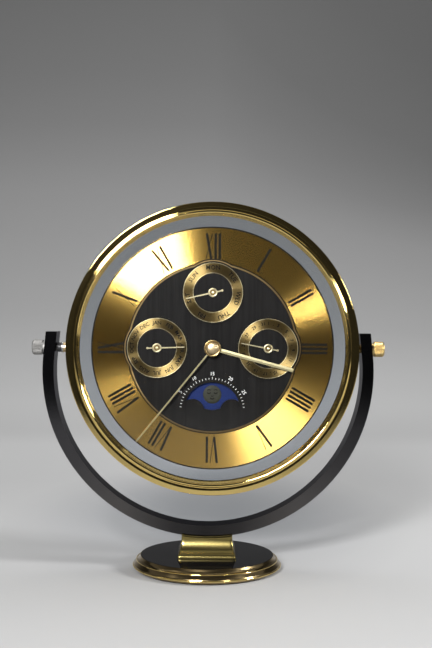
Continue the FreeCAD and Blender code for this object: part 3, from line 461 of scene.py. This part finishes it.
brass = polished("wheel_brass", (0.72, 0.52, 0.22), 0.25, 0.1, 300.0)

lacquer = brushed("brushed_black", (0.008, 0.0075, 0.007), (1.0, 1.0, 0.03), 0.35, 700.0,
                  0.05, 2.6, metallic=0.0)
inputs_of(lacquer)["IOR"].default_value = 1.12
gloss_black = plastic("gloss_black", (0.003, 0.003, 0.0035), 0.05, 500.0, 0.000002, 1.07)
ink = plastic("dial_ink", (0.008, 0.007, 0.005), 0.5, 2500.0, 0.00001, 1.15)
white_ink = plastic("white_ink", (0.75, 0.74, 0.70), 0.5, 2500.0, 0.00001)
moon_olive = plastic("moon_olive", (0.02, 0.0205, 0.0125), 0.55, 900.0, 0.00002, 1.3)
sky_blue = plastic("moon_sky", (0.0035, 0.0125, 0.072), 0.45, 900.0, 0.00001, 1.25)
black_plastic = plastic("black_plastic", (0.02, 0.02, 0.021), 0.45)
grey_plastic = plastic("grey_plastic", (0.07, 0.07, 0.072), 0.5)
felt = plastic("green_felt", (0.015, 0.018, 0.016), 0.95, 2600.0, 0.0004)
battery_skin = brushed("battery_sleeve", (0.10, 0.10, 0.11), (0.1, 1.0, 1.0), 0.35, 700.0)
front_glass = clear_glass("front_glass", (0.955, 0.962, 0.97), 0.6)
back_glass = clear_glass("back_glass", (0.86, 0.878, 0.895), 1.0)

# Painted reflections and shade: the yoke's band darkest over the pedestal, palest below its tips
REFLECTION_PER_ASIDE = 12.0  # the ramp ends 83 mm from the middle
REFLECTION_PER_UP = 8.0      # the ramp ends 125 mm above the table
gunmetal = polished("gunmetal", (0.082, 0.081, 0.085), 0.07, 0.05)
inputs_of(gunmetal)["Specular Tint"].default_value = (0.3, 0.3, 0.31, 1.0)
tone_by_place(
    gunmetal,
    [(0.0, (0.3, 0.29, 0.28)), (0.2, (0.42, 0.41, 0.40)), (0.55, (1.15, 1.1, 1.03)),
     (1.0, (0.9, 0.9, 0.93))],
    greys([(0.35, 1.1), (0.54, 1.3), (0.62, 1.6), (0.7, 2.0), (0.79, 1.1)]))


def finish(node, material, bevel=0.0):
    """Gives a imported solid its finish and, where asked, fine rounded edges."""
    obj = nodes[node]
    obj.data.materials.clear()
    obj.data.materials.append(material)
    if bevel:
        soft = obj.modifiers.new("edges", "BEVEL")
        soft.width = bevel * MM
        soft.segments = 3
        soft.limit_method = "ANGLE"
        soft.angle_limit = math.radians(35)
        soft.harden_normals = True


# Base, pedestal and yoke

RIM_PROFILE = [
    (30.0, 0.9), (37.3, 0.9), (37.8, 1.5), (38.1, 2.0), (38.15, 2.6), (38.0, 3.0), (37.3, 3.85),
    (36.75, 4.55), (36.5, 5.0), (36.1, 5.15), (35.5, 5.5), (35.0, 6.1), (34.6, 6.8), (34.4, 7.15),
    (34.3, 7.18), (34.3, 5.6), (30.0, 5.6)]
RIM_BEADS = {"base_upper_bead": (36.42, 4.98, 0.24),  # name: radius, height, thickness
             "base_lower_bead": (38.05, 2.2, 0.45)}
BASE_PLATE_PROFILE = [(0.0, 5.6), (34.2, 5.6), (34.2, 6.95), *arc(33.95, 6.95, 0.25, 0, 90, 4),
                      (0.0, 7.2)]
FELT_PROFILE = [(0.0, 0.0), (35.0, 0.0), (35.6, 0.15), (35.75, 0.45), (35.6, 0.8), (35.0, 0.9),
                (0.0, 0.9)]
YOKE_MIDDLE, YOKE_OUTER = 102.2, 85.05  # centre's height and outer radius of the band
YOKE_HALF_DEPTH = 6.05                  # with its play in the pedestal's slot
PEDESTAL_HALF = 13.0                    # half width at the saddle
PEDESTAL_FLARE = 1.8                    # more than that at the foot
FOOT_TOP, SADDLE_LOW, SADDLE_HIGH = 8.4, 15.0, 17.3
COVE_RADIUS, COVE_INNER = 9.207, 7.65
PEDESTAL_FRONT = [
    (13.0, 7.2), (13.0, 8.35), (12.85, 8.65), (12.55, 8.85), (12.4, 9.0),
    *[(COVE_INNER + COVE_RADIUS - y, SADDLE_HIGH - z)
      for y, z in arc(0.0, 0.0, COVE_RADIUS, 60, 0, 10)],
    (7.73, 17.42), (7.7, 17.6), (7.55, 17.7), (7.3, 17.74), (YOKE_HALF_DEPTH, 17.74)]


def felt_edge(radius, along, a):
    """The felt's cut edge, a little uneven."""
    return radius + (0.12 * math.sin(a * 37) + 0.08 * math.sin(a * 91 + 1.0)) * (radius > 30)


def pedestal_section(place, inset):
    """Corners of the section at a place from -1 (left) to 1 (right), drawn in by inset."""
    sag = YOKE_OUTER - math.sqrt(YOKE_OUTER ** 2 - (place * PEDESTAL_HALF) ** 2)
    outline = []
    for y, z in PEDESTAL_FRONT:
        flare = max(0.0, 1 - max(0.0, z - FOOT_TOP) / 9.0) ** 2.2
        follow = min(1.0, max(0.0, (z - SADDLE_LOW) / (SADDLE_HIGH - SADDLE_LOW)))
        outline.append((place * (PEDESTAL_HALF + PEDESTAL_FLARE * flare),
                        y if y == YOKE_HALF_DEPTH else y - inset, z + sag * follow))
    slot_floor = YOKE_MIDDLE - YOKE_OUTER + sag
    outline.append((place * PEDESTAL_HALF, YOKE_HALF_DEPTH, slot_floor))
    return [(x, -y, z) for x, y, z in outline] + outline[::-1]


def pedestal():
    """Block lofted across: coved front and back, waisted sides with rounded edges, and a saddle
    that follows the yoke."""
    bm = bmesh.new()
    rounded_end = [(1.0, 0.55), (0.994, 0.3), (0.98, 0.1), (0.95, 0.0)]
    steps = [(-place, inset) for place, inset in rounded_end]
    steps += [(k / 8, 0.0) for k in range(-7, 8)]
    steps += rounded_end[::-1]
    loft(bm, [[bm.verts.new(point) for point in pedestal_section(*step)] for step in steps])
    return mesh_piece("pedestal_saddle", bm, "stand", stand_gold, 40)


finish("yoke", gunmetal, 0.35)
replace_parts(pedestal(), "pedestal")
base_rim = turned("base_rim_turned", RIM_PROFILE, "stand", rim_bronze,
                  STAND, "Z", 192, 40)
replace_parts(base_rim, "base_rim")
for name, (radius, height, thick) in RIM_BEADS.items():
    bead = turned(name, arc(radius, height, thick, 0, 345, 23), "stand", gold,
                  STAND, "Z", 192, 60)
    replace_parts(bead, "base_rim")
base_plate = turned("base_plate_lacquer", BASE_PLATE_PROFILE, "stand",
                    gloss_black, STAND, "Z", 160, 40)
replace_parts(base_plate, "base_top_plate")
felt_pad = turned("base_felt_pad", FELT_PROFILE, "stand", felt, STAND, "Z", 200, 60,
                  felt_edge)
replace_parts(felt_pad, "base_felt")


# Pivots and knobs

SLEEVE_BORE = 2.08
WASHER_THICK = 0.8
SLEEVE_RIBS = 3
FIRST_GROOVE, GROOVE_PITCH = 0.95, 0.62  # measured back from a knob's outer end
GRIP_MIDDLE, GRIP_HALF = 3.15, 2.2       # of the knurled length, measured the same way
GROOVE_RADIUS, CREST_RADIUS = 3.82, 3.97


def middle_across(low, high):
    """A point on the pivot line of a box."""
    return Vector((0.0, (low.y + high.y) / 2, (low.z + high.z) / 2))


def left_sleeve():
    """Ribbed dark sleeve and bright washer that fill the wider gap on the left."""
    low, high = box_mm("left_pivot_sleeve")
    middle = middle_across(low, high)
    washer = high.x - WASHER_THICK
    pitch = (washer - low.x) / SLEEVE_RIBS
    ribs = []
    for k in range(SLEEVE_RIBS):
        x = low.x + k * pitch
        ribs += [(2.2, x + 0.02), (2.5, x + 0.12 * pitch), (2.5, x + 0.62 * pitch),
                 (2.2, x + 0.75 * pitch)]
    sleeve = turned("left_sleeve_ribbed",
                    [(SLEEVE_BORE, low.x), *ribs, (2.2, washer), (SLEEVE_BORE, washer)],
                    "head", black_plastic, middle, "X", 64)
    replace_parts(sleeve, "left_pivot_sleeve")
    disc = turned("left_sleeve_washer",
                  [(SLEEVE_BORE, washer), (2.7, washer), (2.9, washer + 0.15),
                   (2.9, high.x - 0.15), (2.7, high.x), (SLEEVE_BORE, high.x)],
                  "head", steel, middle, "X", 64)
    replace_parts(disc, "left_pivot_sleeve")


def knob(side, sign, material):
    """A knurled knob with a domed end, in the place of its solid."""
    low, high = box_mm(side + "_knob")
    outer, inner = (high.x, low.x) if sign > 0 else (low.x, high.x)
    domed_end = [(0.0, 0.0), (2.2, 0.06), (3.2, 0.25), (3.7, 0.6)]
    grip = []
    for k in range(7):
        groove = FIRST_GROOVE + k * GROOVE_PITCH
        grip += [(GROOVE_RADIUS, groove), (CREST_RADIUS, groove + 0.12),
                 (CREST_RADIUS, groove + 0.5)]
    collar = [(GROOVE_RADIUS, 5.3), (3.7, 5.7), (3.15, 5.8), (3.1, 7.4), (2.9, 7.5), (2.0, 7.5)]
    barrel = [(radius, outer - sign * back) for radius, back in domed_end + grip + collar]
    barrel += [(2.0, inner), (0.0, inner)]

    def knurl(radius, along, a):
        off_grip = radius < 3.6 or abs(along - (outer - sign * GRIP_MIDDLE)) > GRIP_HALF
        return radius if off_grip else knurled(radius, a)

    piece = turned(side + "_knob_knurled", barrel, side + "_knob", material,
                   middle_across(low, high), "X", 264, 50, knurl)
    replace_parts(piece, side + "_knob")


finish("pivot_bosses", hub_gold, 0.1)
left_sleeve()
knob("left", -1, silver)
knob("right", 1, knob_gold)


# Bezel, glass and drum

BEZEL_PROFILE = [
    (67.8, -8.6), (67.95, -8.9), (68.9, -10.2), *arc(69.95, -9.95, 1.05, 200, 345, 16),
    (71.1, -9.66), (71.3, -9.6), (72.3, -9.7), (72.45, -9.74), (74.6, -9.74), (74.85, -9.62),
    (74.97, -9.4), (75.0, -9.1), (75.0, -8.6)]
bezel = turned("bezel_ring", BEZEL_PROFILE, "head", gold, segments=256)
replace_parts(bezel, "front_bezel")
finish("front_crystal", front_glass)
finish("rear_glass", back_glass)
finish("case_drum", gold_satin)


# Dial

PLATE_RADIUS, LOBE_RADIUS = 43.8, 16.8
NUMERAL_LOW, NUMERAL_HIGH = 46.0, 59.5    # radii of a numeral's foot and top
THICK, HAIRLINE, LETTER_GAP = 1.2, 0.34, 0.93
LETTER_WIDTHS = {"I": THICK, "V": 4.3, "X": 3.7}
SCALE_RADIUS = 12.9                       # of the words round a subdial


def plate_reach(a):
    """Radius of the centre plate's outline at an angle clockwise from the top, lobes included."""
    reach = PLATE_RADIUS
    for lobe in SUBDIALS.values():
        turn = a - math.radians(lobe)
        aside = SUBDIAL_DISTANCE * math.sin(turn)
        if math.cos(turn) > 0 and abs(aside) < LOBE_RADIUS:
            reach = max(reach, SUBDIAL_DISTANCE * math.cos(turn)
                        + math.sqrt(LOBE_RADIUS ** 2 - aside ** 2))
    return reach


def along_plate(radius, along, a):
    return radius - PLATE_RADIUS + plate_reach(a)


def roman(bm, letters, clockwise):
    """A numeral of strokes, its top outward, on the chapter ring."""
    low, high = NUMERAL_LOW, NUMERAL_HIGH
    total = sum(LETTER_WIDTHS[c] for c in letters) + LETTER_GAP * (len(letters) - 1)
    left = -total / 2
    for c in letters:
        right = left + LETTER_WIDTHS[c]
        middle = (left + right) / 2
        first, last = left + THICK / 2, right - THICK / 2
        if c == "I":
            strokes = [stroke(middle, low, middle, high, THICK)]
        elif c == "V":
            strokes = [stroke(middle, low, first, high, THICK),
                       stroke(middle + 0.25, low, right - HAIRLINE / 2, high, HAIRLINE)]
        else:
            strokes = [stroke(last, low, first, high, THICK),
                       stroke(left + HAIRLINE / 2, low, right - HAIRLINE / 2, high, HAIRLINE)]
        for points in strokes:
            slab(bm, turned_points(points, clockwise), DIAL_FRONT - 0.06, DIAL_FRONT + 0.05, HEAD)
        left = right + LETTER_GAP


def subdial(name, labels, height):
    """Black middle, gold ring with its printed scale, dark outline and two beads of a subdial."""
    middle = on_dial(SUBDIAL_DISTANCE, SUBDIALS[name], 0.0)
    face = SUBDIAL_FRONT
    metal = turned_metal(name + "_gold", (0.225, 0.158, 0.06), middle, 0.4, 3500.0, 0.7, 1.1)
    ring = turned(name + "_disc",
                  [(0.0, face), (11.6, face), (11.7, face + 0.04), (11.8, face), (15.2, face),
                   (15.5, face + 0.25), (15.5, PLATE_FRONT), (0.0, PLATE_FRONT)],
                  "head", metal, middle, segments=120)
    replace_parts(ring, "subdial_discs")
    turned(name + "_middle",
           [(0.0, face - 0.04), (9.9, face - 0.04), (10.2, face + 0.1), (0.0, face + 0.1)],
           "head", lacquer, middle, segments=96)
    turned(name + "_outline",
           [(15.5, face - 0.02), (16.3, face - 0.02), (16.3, -0.98), (15.5, -0.98)],
           "head", ink, middle, segments=120)
    turns = [360.0 * k / len(labels) for k in range(len(labels))]
    words(name + "_scale",
          [(label, *clock_point(SCALE_RADIUS, turn), turn) for label, turn in zip(labels, turns)],
          "head", ink, height, face - 0.02, 0.06, middle, 0.06)
    for part, radius, thick in (("_outer_bead", 15.35, 0.17), ("_inner_bead", 10.25, 0.12)):
        turned(name + part, arc(radius, face + 0.03, thick, 0, 330, 11),
               "head", small_gold, middle, segments=120, sharp=60)


finish("chapter_ring", gold_dial)
finish("centre_plate", lacquer)
turned("plate_rim_gold",
       [(43.05, -1.0), (43.2, -1.14), (43.75, -1.14), (43.9, -1.0), (43.9, -0.45), (43.05, -0.9)],
       "head", rim_gold, segments=360, ripple=along_plate)
turned("plate_rim_line", [(43.85, -0.5), (44.45, -0.5), (44.45, -0.38), (43.85, -0.38)],
       "head", ink, segments=360, ripple=along_plate)
numerals = bmesh.new()
for hour, letters in enumerate("XII I II III IIII V VI VII VIII IX X XI".split()):
    roman(numerals, letters, hour * 30.0)
mesh_piece("dial_numerals", numerals, "head", ink, smooth=False)
turned("dial_edge_line",
       [(62.3, DIAL_FRONT - 0.05), (62.95, DIAL_FRONT - 0.05), (62.95, DIAL_FRONT + 0.02),
        (62.3, DIAL_FRONT + 0.02)], "head", ink, segments=192)
subdial("weekday", "MON TUE WED THU FRI SAT SUN".split(), 3.2)
subdial("month", "JAN FEB MAR APR MAY JUN JUL AUG SEP OCT NOV DEC".split(), 2.7)
subdial("date", [str(n) if n % 2 else "." for n in range(1, 32)], 2.3)


# Hands

HOUR_HEADING, MINUTE_HEADING = 105.0, 219.0  # degrees clockwise from the top
SMALL_HEADINGS = {"weekday": 257.0, "month": 88.0, "date": 281.0}
CAP_PROFILE = [
    (0.0, -6.0),
    *[(3.35 * math.sin(math.radians(t)), -4.75 - 1.25 * math.cos(math.radians(t)))
      for t in range(10, 85, 10)],
    (3.35, -4.5), (0.0, -4.5)]
CAP_COLLAR_PROFILE = [(3.3, -4.5), (3.3, -4.75), (3.7, -4.9), (4.05, -4.95), (4.3, -4.85),
                      (4.4, -4.6), (4.4, -4.5)]
HUB_SEAT_PROFILE = [(0.0, -2.14), (1.7, -2.14), (1.7, -2.08), (0.0, -2.08)]
HUB_COLLAR_PROFILE = [(1.5, -2.08), (1.55, -2.3), (1.75, -2.42), (2.15, -2.42), (2.35, -2.3),
                      (2.4, -2.08)]
HUB_PIN_PROFILE = [(0.0, -2.55), (0.4, -2.5), (0.7, -2.35), (0.8, -2.12), (0.0, -2.12)]


def baton(name, body, heading, length, width, front):
    """A straight hand with a low ridge along it, narrower at its tip, and a hub under the cap."""
    bm = bmesh.new()
    edge, back = front + 0.22, front + 0.4
    sections = []
    for along, wide, drop in ((2.5, width, 0.0), (length - 0.25, width * 0.92, 0.0),
                              (length, width * 0.8, 0.15)):
        half = wide / 2
        section = []
        for across, y in ((-half, back), (-half, edge), (0.0, front + drop), (half, edge),
                          (half, back)):
            (x, z), = turned_points([(across, along)], heading)
            section.append(bm.verts.new((HEAD.x + x, HEAD.y + y, HEAD.z + z)))
        sections.append(section)
    loft(bm, sections)
    hub = [(1.25, front + 0.05), (3.3, front + 0.05), (3.4, front + 0.12), (3.4, back),
           (1.25, back)]
    lathe(bm, hub, HEAD, "Y", 64)
    return mesh_piece(name, bm, body, gold_pale, 12)


def small_hand(kind, middle):
    """Slender pointer with a hub and a thin tail that ends in a bead."""
    heading = SMALL_HEADINGS[kind]
    pointer = [(-0.36, 1.8), (0.36, 1.8), (0.22, 14.2), (0.0, 14.4), (-0.22, 14.2)]
    tail = [(-0.3, -4.6), (0.3, -4.6), (0.34, -1.8), (-0.34, -1.8)]
    hub = [(0.0, -2.1), (2.3, -2.1), (2.3, -1.8), (0.0, -1.8)]
    bead = [(0.0, -2.2), (0.45, -2.18), (0.62, -2.05), (0.62, -1.9), (0.0, -1.85)]
    bm = bmesh.new()
    for points in (pointer, tail):
        slab(bm, turned_points(points, heading), -2.12, -1.85, middle)
    lathe(bm, hub, middle, "Y", 48)
    (x, z), = turned_points([(0.0, -4.9)], heading)
    lathe(bm, bead, middle + Vector((x, 0.0, z)), "Y", 24)
    return mesh_piece(kind + "_pointer", bm, kind, small_gold, 30)


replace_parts(baton("hour_hand_blade", "hour", HOUR_HEADING, 43.2, 2.1, -3.4), "hour_hand")
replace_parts(baton("minute_hand_blade", "minute", MINUTE_HEADING, 62.0, 0.85, -4.5), "minute_hand")
for kind, clockwise in SUBDIALS.items():
    middle = on_dial(SUBDIAL_DISTANCE, clockwise, 0.0)
    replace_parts(small_hand(kind, middle), kind + "_hand")
    turned(kind + "_hub_seat", HUB_SEAT_PROFILE, kind, rim_gold, middle,
           segments=48)
    turned(kind + "_hub_collar", HUB_COLLAR_PROFILE, kind, small_gold, middle,
           segments=64)
    turned(kind + "_hub_pin", HUB_PIN_PROFILE, kind, gold_pale, middle,
           segments=32)
cap = turned("hand_cap_dome", CAP_PROFILE, "minute", hub_gold, segments=96)
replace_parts(cap, "hand_cap")
cap_collar = turned("hand_cap_collar", CAP_COLLAR_PROFILE, "minute", rim_gold,
                    segments=96)
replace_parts(cap_collar, "hand_cap")


# Moon phase

MOON_FROM_AXLE = 8.1  # from the moon disc's centre to a moon's
MOON_PROFILE = [(0.0, -0.42), (2.0, -0.4), (3.4, -0.34), (4.3, -0.2), (4.7, -0.06), (4.8, 0.0),
                (4.8, 0.05), (0.0, 0.05)]
FACE = [  # closed eyes, brows, nose and mouth
    curved_stroke(-1.75, 1.35, 0.85, 0.55, 195, 345),
    curved_stroke(1.75, 1.35, 0.85, 0.55, 195, 345),
    curved_stroke(-1.75, 1.25, 1.3, 0.42, 45, 135),
    curved_stroke(1.75, 1.25, 1.3, 0.42, 45, 135),
    curved_stroke(0.0, -0.45, 0.5, 0.45, 190, 350),
    curved_stroke(0.0, -1.0, 1.3, 0.58, 215, 325)]
TICK_LOW, TICK_HIGH, LONG_TICK_HIGH, DAY_NUMBERS = 16.0, 16.9, 17.3, 18.9  # radii
TICK_HALF_WIDTH = 0.11
DEGREES_A_DAY = 6.0

finish("moon_disc", sky_blue)
moons, faces = bmesh.new(), bmesh.new()
for turn in (0.0, 180.0):
    middle = on_dial(MOON_FROM_AXLE, turn, 0.9, MOON)
    lathe(moons, MOON_PROFILE, middle, "Y", 64)
    for points in FACE:
        slab(faces, turned_points(points, turn), -0.47, -0.3, middle)
mesh_piece("moon_reliefs", moons, "moon", moon_olive, 40)
mesh_piece("moon_faces", faces, "moon", ink, smooth=False)

ticks = bmesh.new()
day_numbers = []
for day in range(1, 30):
    turn = (day - 15) * DEGREES_A_DAY
    long = day % 5 == 0
    points = rectangle(-TICK_HALF_WIDTH, TICK_HALF_WIDTH, TICK_LOW,
                       LONG_TICK_HIGH if long else TICK_HIGH)
    slab(ticks, turned_points(points, turn), PLATE_FRONT - 0.06, PLATE_FRONT + 0.02, MOON)
    if long:
        day_numbers.append((str(day), *clock_point(DAY_NUMBERS, turn), turn))
mesh_piece("moon_ticks", ticks, "head", white_ink, smooth=False)
words("moon_day_numbers", day_numbers, "head", white_ink, 2.5, PLATE_FRONT - 0.03, 0.06,
      MOON)


# Works and back

RIB_HALF_WIDTH, RIB_PITCH, RIB_HIGH = 7.0, 1.4, 0.6
SCREW_PROFILE = [(0.0, -0.1), (2.1, -0.1), (2.1, 0.2), (1.8, 0.45), (0.0, 0.5)]
SCREW_PLACES = (-34.0, 34.0)  # both across and up, from the dial's centre


def setting_knob():
    """The knurled knob at the back that turns the hands."""
    low, high = box_mm("setting_knob")
    middle = Vector(((low.x + high.x) / 2, 0.0, (low.z + high.z) / 2))
    profile = [(0.0, low.y), (4.9, low.y), (5.15, low.y + 0.2), (5.15, high.y - 0.6),
               (4.8, high.y - 0.15), (4.4, high.y), (3.4, high.y), (3.2, high.y - 0.25),
               (0.0, high.y - 0.3)]

    def grip(radius, along, a):
        return knurled(radius, a) if radius > 4.7 and along < high.y - 0.5 else radius

    return turned("setting_knob_grip", profile, "minute_wheel", grey_plastic,
                  middle, "Y", 240, 45, grip)


def door_ribs():
    """Thumb ribs on the battery door."""
    low, high = box_mm("battery_door")
    middle = (low.x + high.x) / 2
    bm = bmesh.new()
    for k in range(6):
        z = low.z + 2.0 + k * RIB_PITCH
        slab(bm, rectangle(middle - RIB_HALF_WIDTH, middle + RIB_HALF_WIDTH, z, z + RIB_HIGH),
             high.y - 0.05, high.y + 0.35, STAND)
    mesh_piece("battery_door_ribs", bm, "battery_door", black_plastic,
               smooth=False)


def cover_screws():
    """Cross-slotted screws at the corners of the rear cover."""
    screws, slots = bmesh.new(), bmesh.new()
    cover_back = box_mm("rear_cover")[1].y
    for x in SCREW_PLACES:
        for z in SCREW_PLACES:
            middle = HEAD + Vector((x, cover_back, z))
            lathe(screws, SCREW_PROFILE, middle, "Y", 32)
            for turn in (20.0 + x, 110.0 + x):
                slab(slots, turned_points(rectangle(-1.3, 1.3, -0.2, 0.2), turn), 0.42, 0.53,
                     middle)
    mesh_piece("cover_screws", screws, "head", dark_steel, 40)
    mesh_piece("cover_screw_slots", slots, "head", black_plastic, smooth=False)


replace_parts(setting_knob(), "setting_knob")
door_ribs()
cover_screws()
finish("works_tray", black_plastic, 0.3)
finish("rear_cover", black_plastic, 0.6)
finish("battery_door", grey_plastic, 0.25)
finish("battery", battery_skin)
finish("battery_contacts", steel)
finish("centre_arbor", steel)
finish("movement_housing", grey_plastic)
for node in nodes:
    if node.endswith("_wheel") or node.endswith("_star"):
        finish(node, brass)
    elif "jumper" in node or "leaf" in node:
        finish(node, steel)
    elif "corrector" in node:
        finish(node, grey_plastic)


# Paper, lights and camera

# Place on the paper: 0.3 at the clock, growing to the back and up; it grows faster on the right
PLACE_AT_CLOCK, PLACE_PER_Y, PLACE_PER_Z, PLACE_PER_RIGHT = 0.3, 0.3, 0.25, 0.5
# Painted in these greys: part of the fall of light over the paper and a little shadow behind the
# clock
PAPER = [(0.015, 0.03), (0.09, 0.06), (0.18, 0.085), (0.25, 0.24), (0.27, 0.287), (0.32, 0.325),
         (0.384, 0.34), (0.45, 0.395), (0.527, 0.362), (0.614, 0.251), (0.7, 0.188),
         (0.735, 0.142), (0.76, 0.12), (0.785, 0.105), (0.85, 0.09), (1.0, 0.08)]
# The same as the camera sees it, without the fall to dark at the front, a painted dark for
# reflections
PAPER_SEEN = [(0.0, 0.285)] + [(place, grey) for place, grey in PAPER if place >= 0.27]
# Soft shade just behind the clock: square of the distance from its middle, colour
SHADE = [(0.0, (0.6, 0.62, 0.645)), (0.2, (0.73, 0.745, 0.765)), (0.4, (0.84, 0.848, 0.86)),
         (0.7, (0.945, 0.948, 0.952)), (1.0, (1.0, 1.0, 1.0))]
SHADE_BEHIND = 0.15
SHADE_PER_X, SHADE_PER_Y = 7.5, 4.8
SWEEP_HALF_WIDTH, SWEEP_START, SWEEP_RADIUS = 2.5, 0.6, 0.5
# name: place, aim, width and height, watts, and a direction kept upright in the lamp's face
CLOCK_MIDDLE = (0.0, 0.0, 0.11)
LIGHTS = {
    "key_light": ((-0.235, -0.786, 0.41), CLOCK_MIDDLE, (0.27, 0.13), 15.0, (-0.616, 0.0, 0.788)),
    "side_light": ((0.81, -0.26, 0.41), CLOCK_MIDDLE, (0.15, 0.18), 11.0, (0, 0, 1)),
    "wedge_light": ((0.423, -0.72, 0.268), CLOCK_MIDDLE, (0.09, 0.14), 1.6, (0.94, 0.0, 0.34)),
    "top_light": ((0.0, 0.25, 1.15), (0.0, 0.15, 0.11), (2.0, 1.2), 4.5, (0, 0, 1)),
    "backdrop_light": ((0.0, 0.35, 0.95), (0.0, 0.95, 0.0), (1.5, 0.3), 7.0, (0, 0, 1))}
CAMERA_PLACE = (0.0039, -0.540, 0.1324)
CAMERA_PITCH, CAMERA_ROLL = 89.38, 0.4
CAMERA_LENS = 57.84


def paper_material():
    """Studio paper, graded from the table to the backdrop, partly with painted shade."""
    made, tree, shader, out = new_material("studio_paper")
    parts = coordinates(tree)
    along = math_node(tree, "ADD", math_node(tree, "MULTIPLY", parts["Y"], PLACE_PER_Y),
                      math_node(tree, "MULTIPLY", parts["Z"], PLACE_PER_Z))
    right = math_node(tree, "MULTIPLY", math_node(tree, "MAXIMUM", parts["X"], 0.0), parts["Z"])
    place = math_node(tree, "ADD", math_node(tree, "MULTIPLY_ADD", right, PLACE_PER_RIGHT, along),
                      PLACE_AT_CLOCK)
    across = math_node(tree, "MULTIPLY", parts["X"], SHADE_PER_X)
    behind = math_node(tree, "MULTIPLY", math_node(tree, "SUBTRACT", parts["Y"], SHADE_BEHIND),
                       SHADE_PER_Y)
    shade = ramp(tree, math_node(tree, "ADD", squared(tree, across), squared(tree, behind)), SHADE)
    tree.links.new(product(tree, ramp(tree, place, greys(PAPER)), shade),
                   shader.inputs["Base Color"])
    shader.inputs["Roughness"].default_value = 0.9
    shader.inputs["Specular IOR Level"].default_value = 0.1
    seen = tree.nodes.new("ShaderNodeBsdfDiffuse")
    tree.links.new(product(tree, ramp(tree, place, greys(PAPER_SEEN)), shade),
                   seen.inputs["Color"])
    tree.links.new(seen_as(tree, seen.outputs[0], shader.outputs[0]), out.inputs["Surface"])
    return made


def sweep():
    """Floor that curves up into a backdrop."""
    bm = bmesh.new()
    path = [(-0.95, 0.0), (-0.7, 0.0), (-0.4, 0.0), (0.2, 0.0), (SWEEP_START, 0.0)]
    for k in range(1, 13):
        a = math.radians(90 * k / 12)
        path.append((SWEEP_START + SWEEP_RADIUS * math.sin(a),
                     SWEEP_RADIUS - SWEEP_RADIUS * math.cos(a)))
    path += [(SWEEP_START + SWEEP_RADIUS, 1.2), (SWEEP_START + SWEEP_RADIUS, 2.4)]
    rows = [[bm.verts.new((x, y, z)) for x in (-SWEEP_HALF_WIDTH, SWEEP_HALF_WIDTH)]
            for y, z in path]
    for low, high in zip(rows, rows[1:]):
        bm.faces.new((low[0], low[1], high[1], high[0]))
    mesh = bpy.data.meshes.new("studio_sweep")
    bm.to_mesh(mesh)
    bm.free()
    mesh.polygons.foreach_set("use_smooth", [True] * len(mesh.polygons))
    mesh.materials.append(paper_material())
    add_to_scene(bpy.data.objects.new("studio_sweep", mesh))


def area_light(name, place, target, size, watts, upward):
    lamp = bpy.data.lights.new(name, "AREA")
    lamp.shape = "RECTANGLE"
    lamp.size, lamp.size_y = size
    lamp.energy = watts
    obj = add_to_scene(bpy.data.objects.new(name, lamp))
    obj.location = place
    back = (Vector(place) - Vector(target)).normalized()
    side = Vector(upward).cross(back).normalized()
    obj.rotation_mode = "QUATERNION"
    turn = Matrix((side, back.cross(side), back)).transposed()
    obj.rotation_quaternion = turn.to_quaternion()


def studio_world():
    """Dim room behind the camera and brighter behind the paper; the camera sees it plain grey."""
    world = bpy.data.worlds.new("studio")
    bpy.context.scene.world = world
    world.use_nodes = True
    tree = world.node_tree
    tree.nodes.clear()
    out = tree.nodes.new("ShaderNodeOutputWorld")
    room = tree.nodes.new("ShaderNodeBackground")
    facing = math_node(tree, "MULTIPLY_ADD", coordinates(tree, "Generated")["Y"], 0.5, 0.5)
    stops = [(0.0, (0.02, 0.02, 0.02)), (0.3, (0.035, 0.035, 0.035)), (0.6, (0.16, 0.16, 0.165)),
             (1.0, (0.3, 0.3, 0.3))]
    tree.links.new(ramp(tree, facing, stops), room.inputs["Color"])
    seen = tree.nodes.new("ShaderNodeBackground")
    seen.inputs["Color"].default_value = (0.34, 0.34, 0.345, 1.0)
    tree.links.new(seen_as(tree, seen.outputs[0], room.outputs[0]), out.inputs["Surface"])


def photo_camera():
    """Camera at the photograph's place and angle."""
    data = bpy.data.cameras.new("photo_camera")
    data.sensor_width = 36.0
    data.lens = CAMERA_LENS
    data.clip_start = 0.01
    camera = add_to_scene(bpy.data.objects.new("photo_camera", data))
    camera.matrix_world = (Matrix.Translation(CAMERA_PLACE)
                           @ Matrix.Rotation(math.radians(CAMERA_PITCH), 4, "X")
                           @ Matrix.Rotation(math.radians(CAMERA_ROLL), 4, "Z"))
    bpy.context.scene.camera = camera


sweep()
for name, settings in LIGHTS.items():
    area_light(name, *settings)
studio_world()
photo_camera()
bpy.context.scene.view_settings.view_transform = "Standard"

bpy.context.view_layer.update()
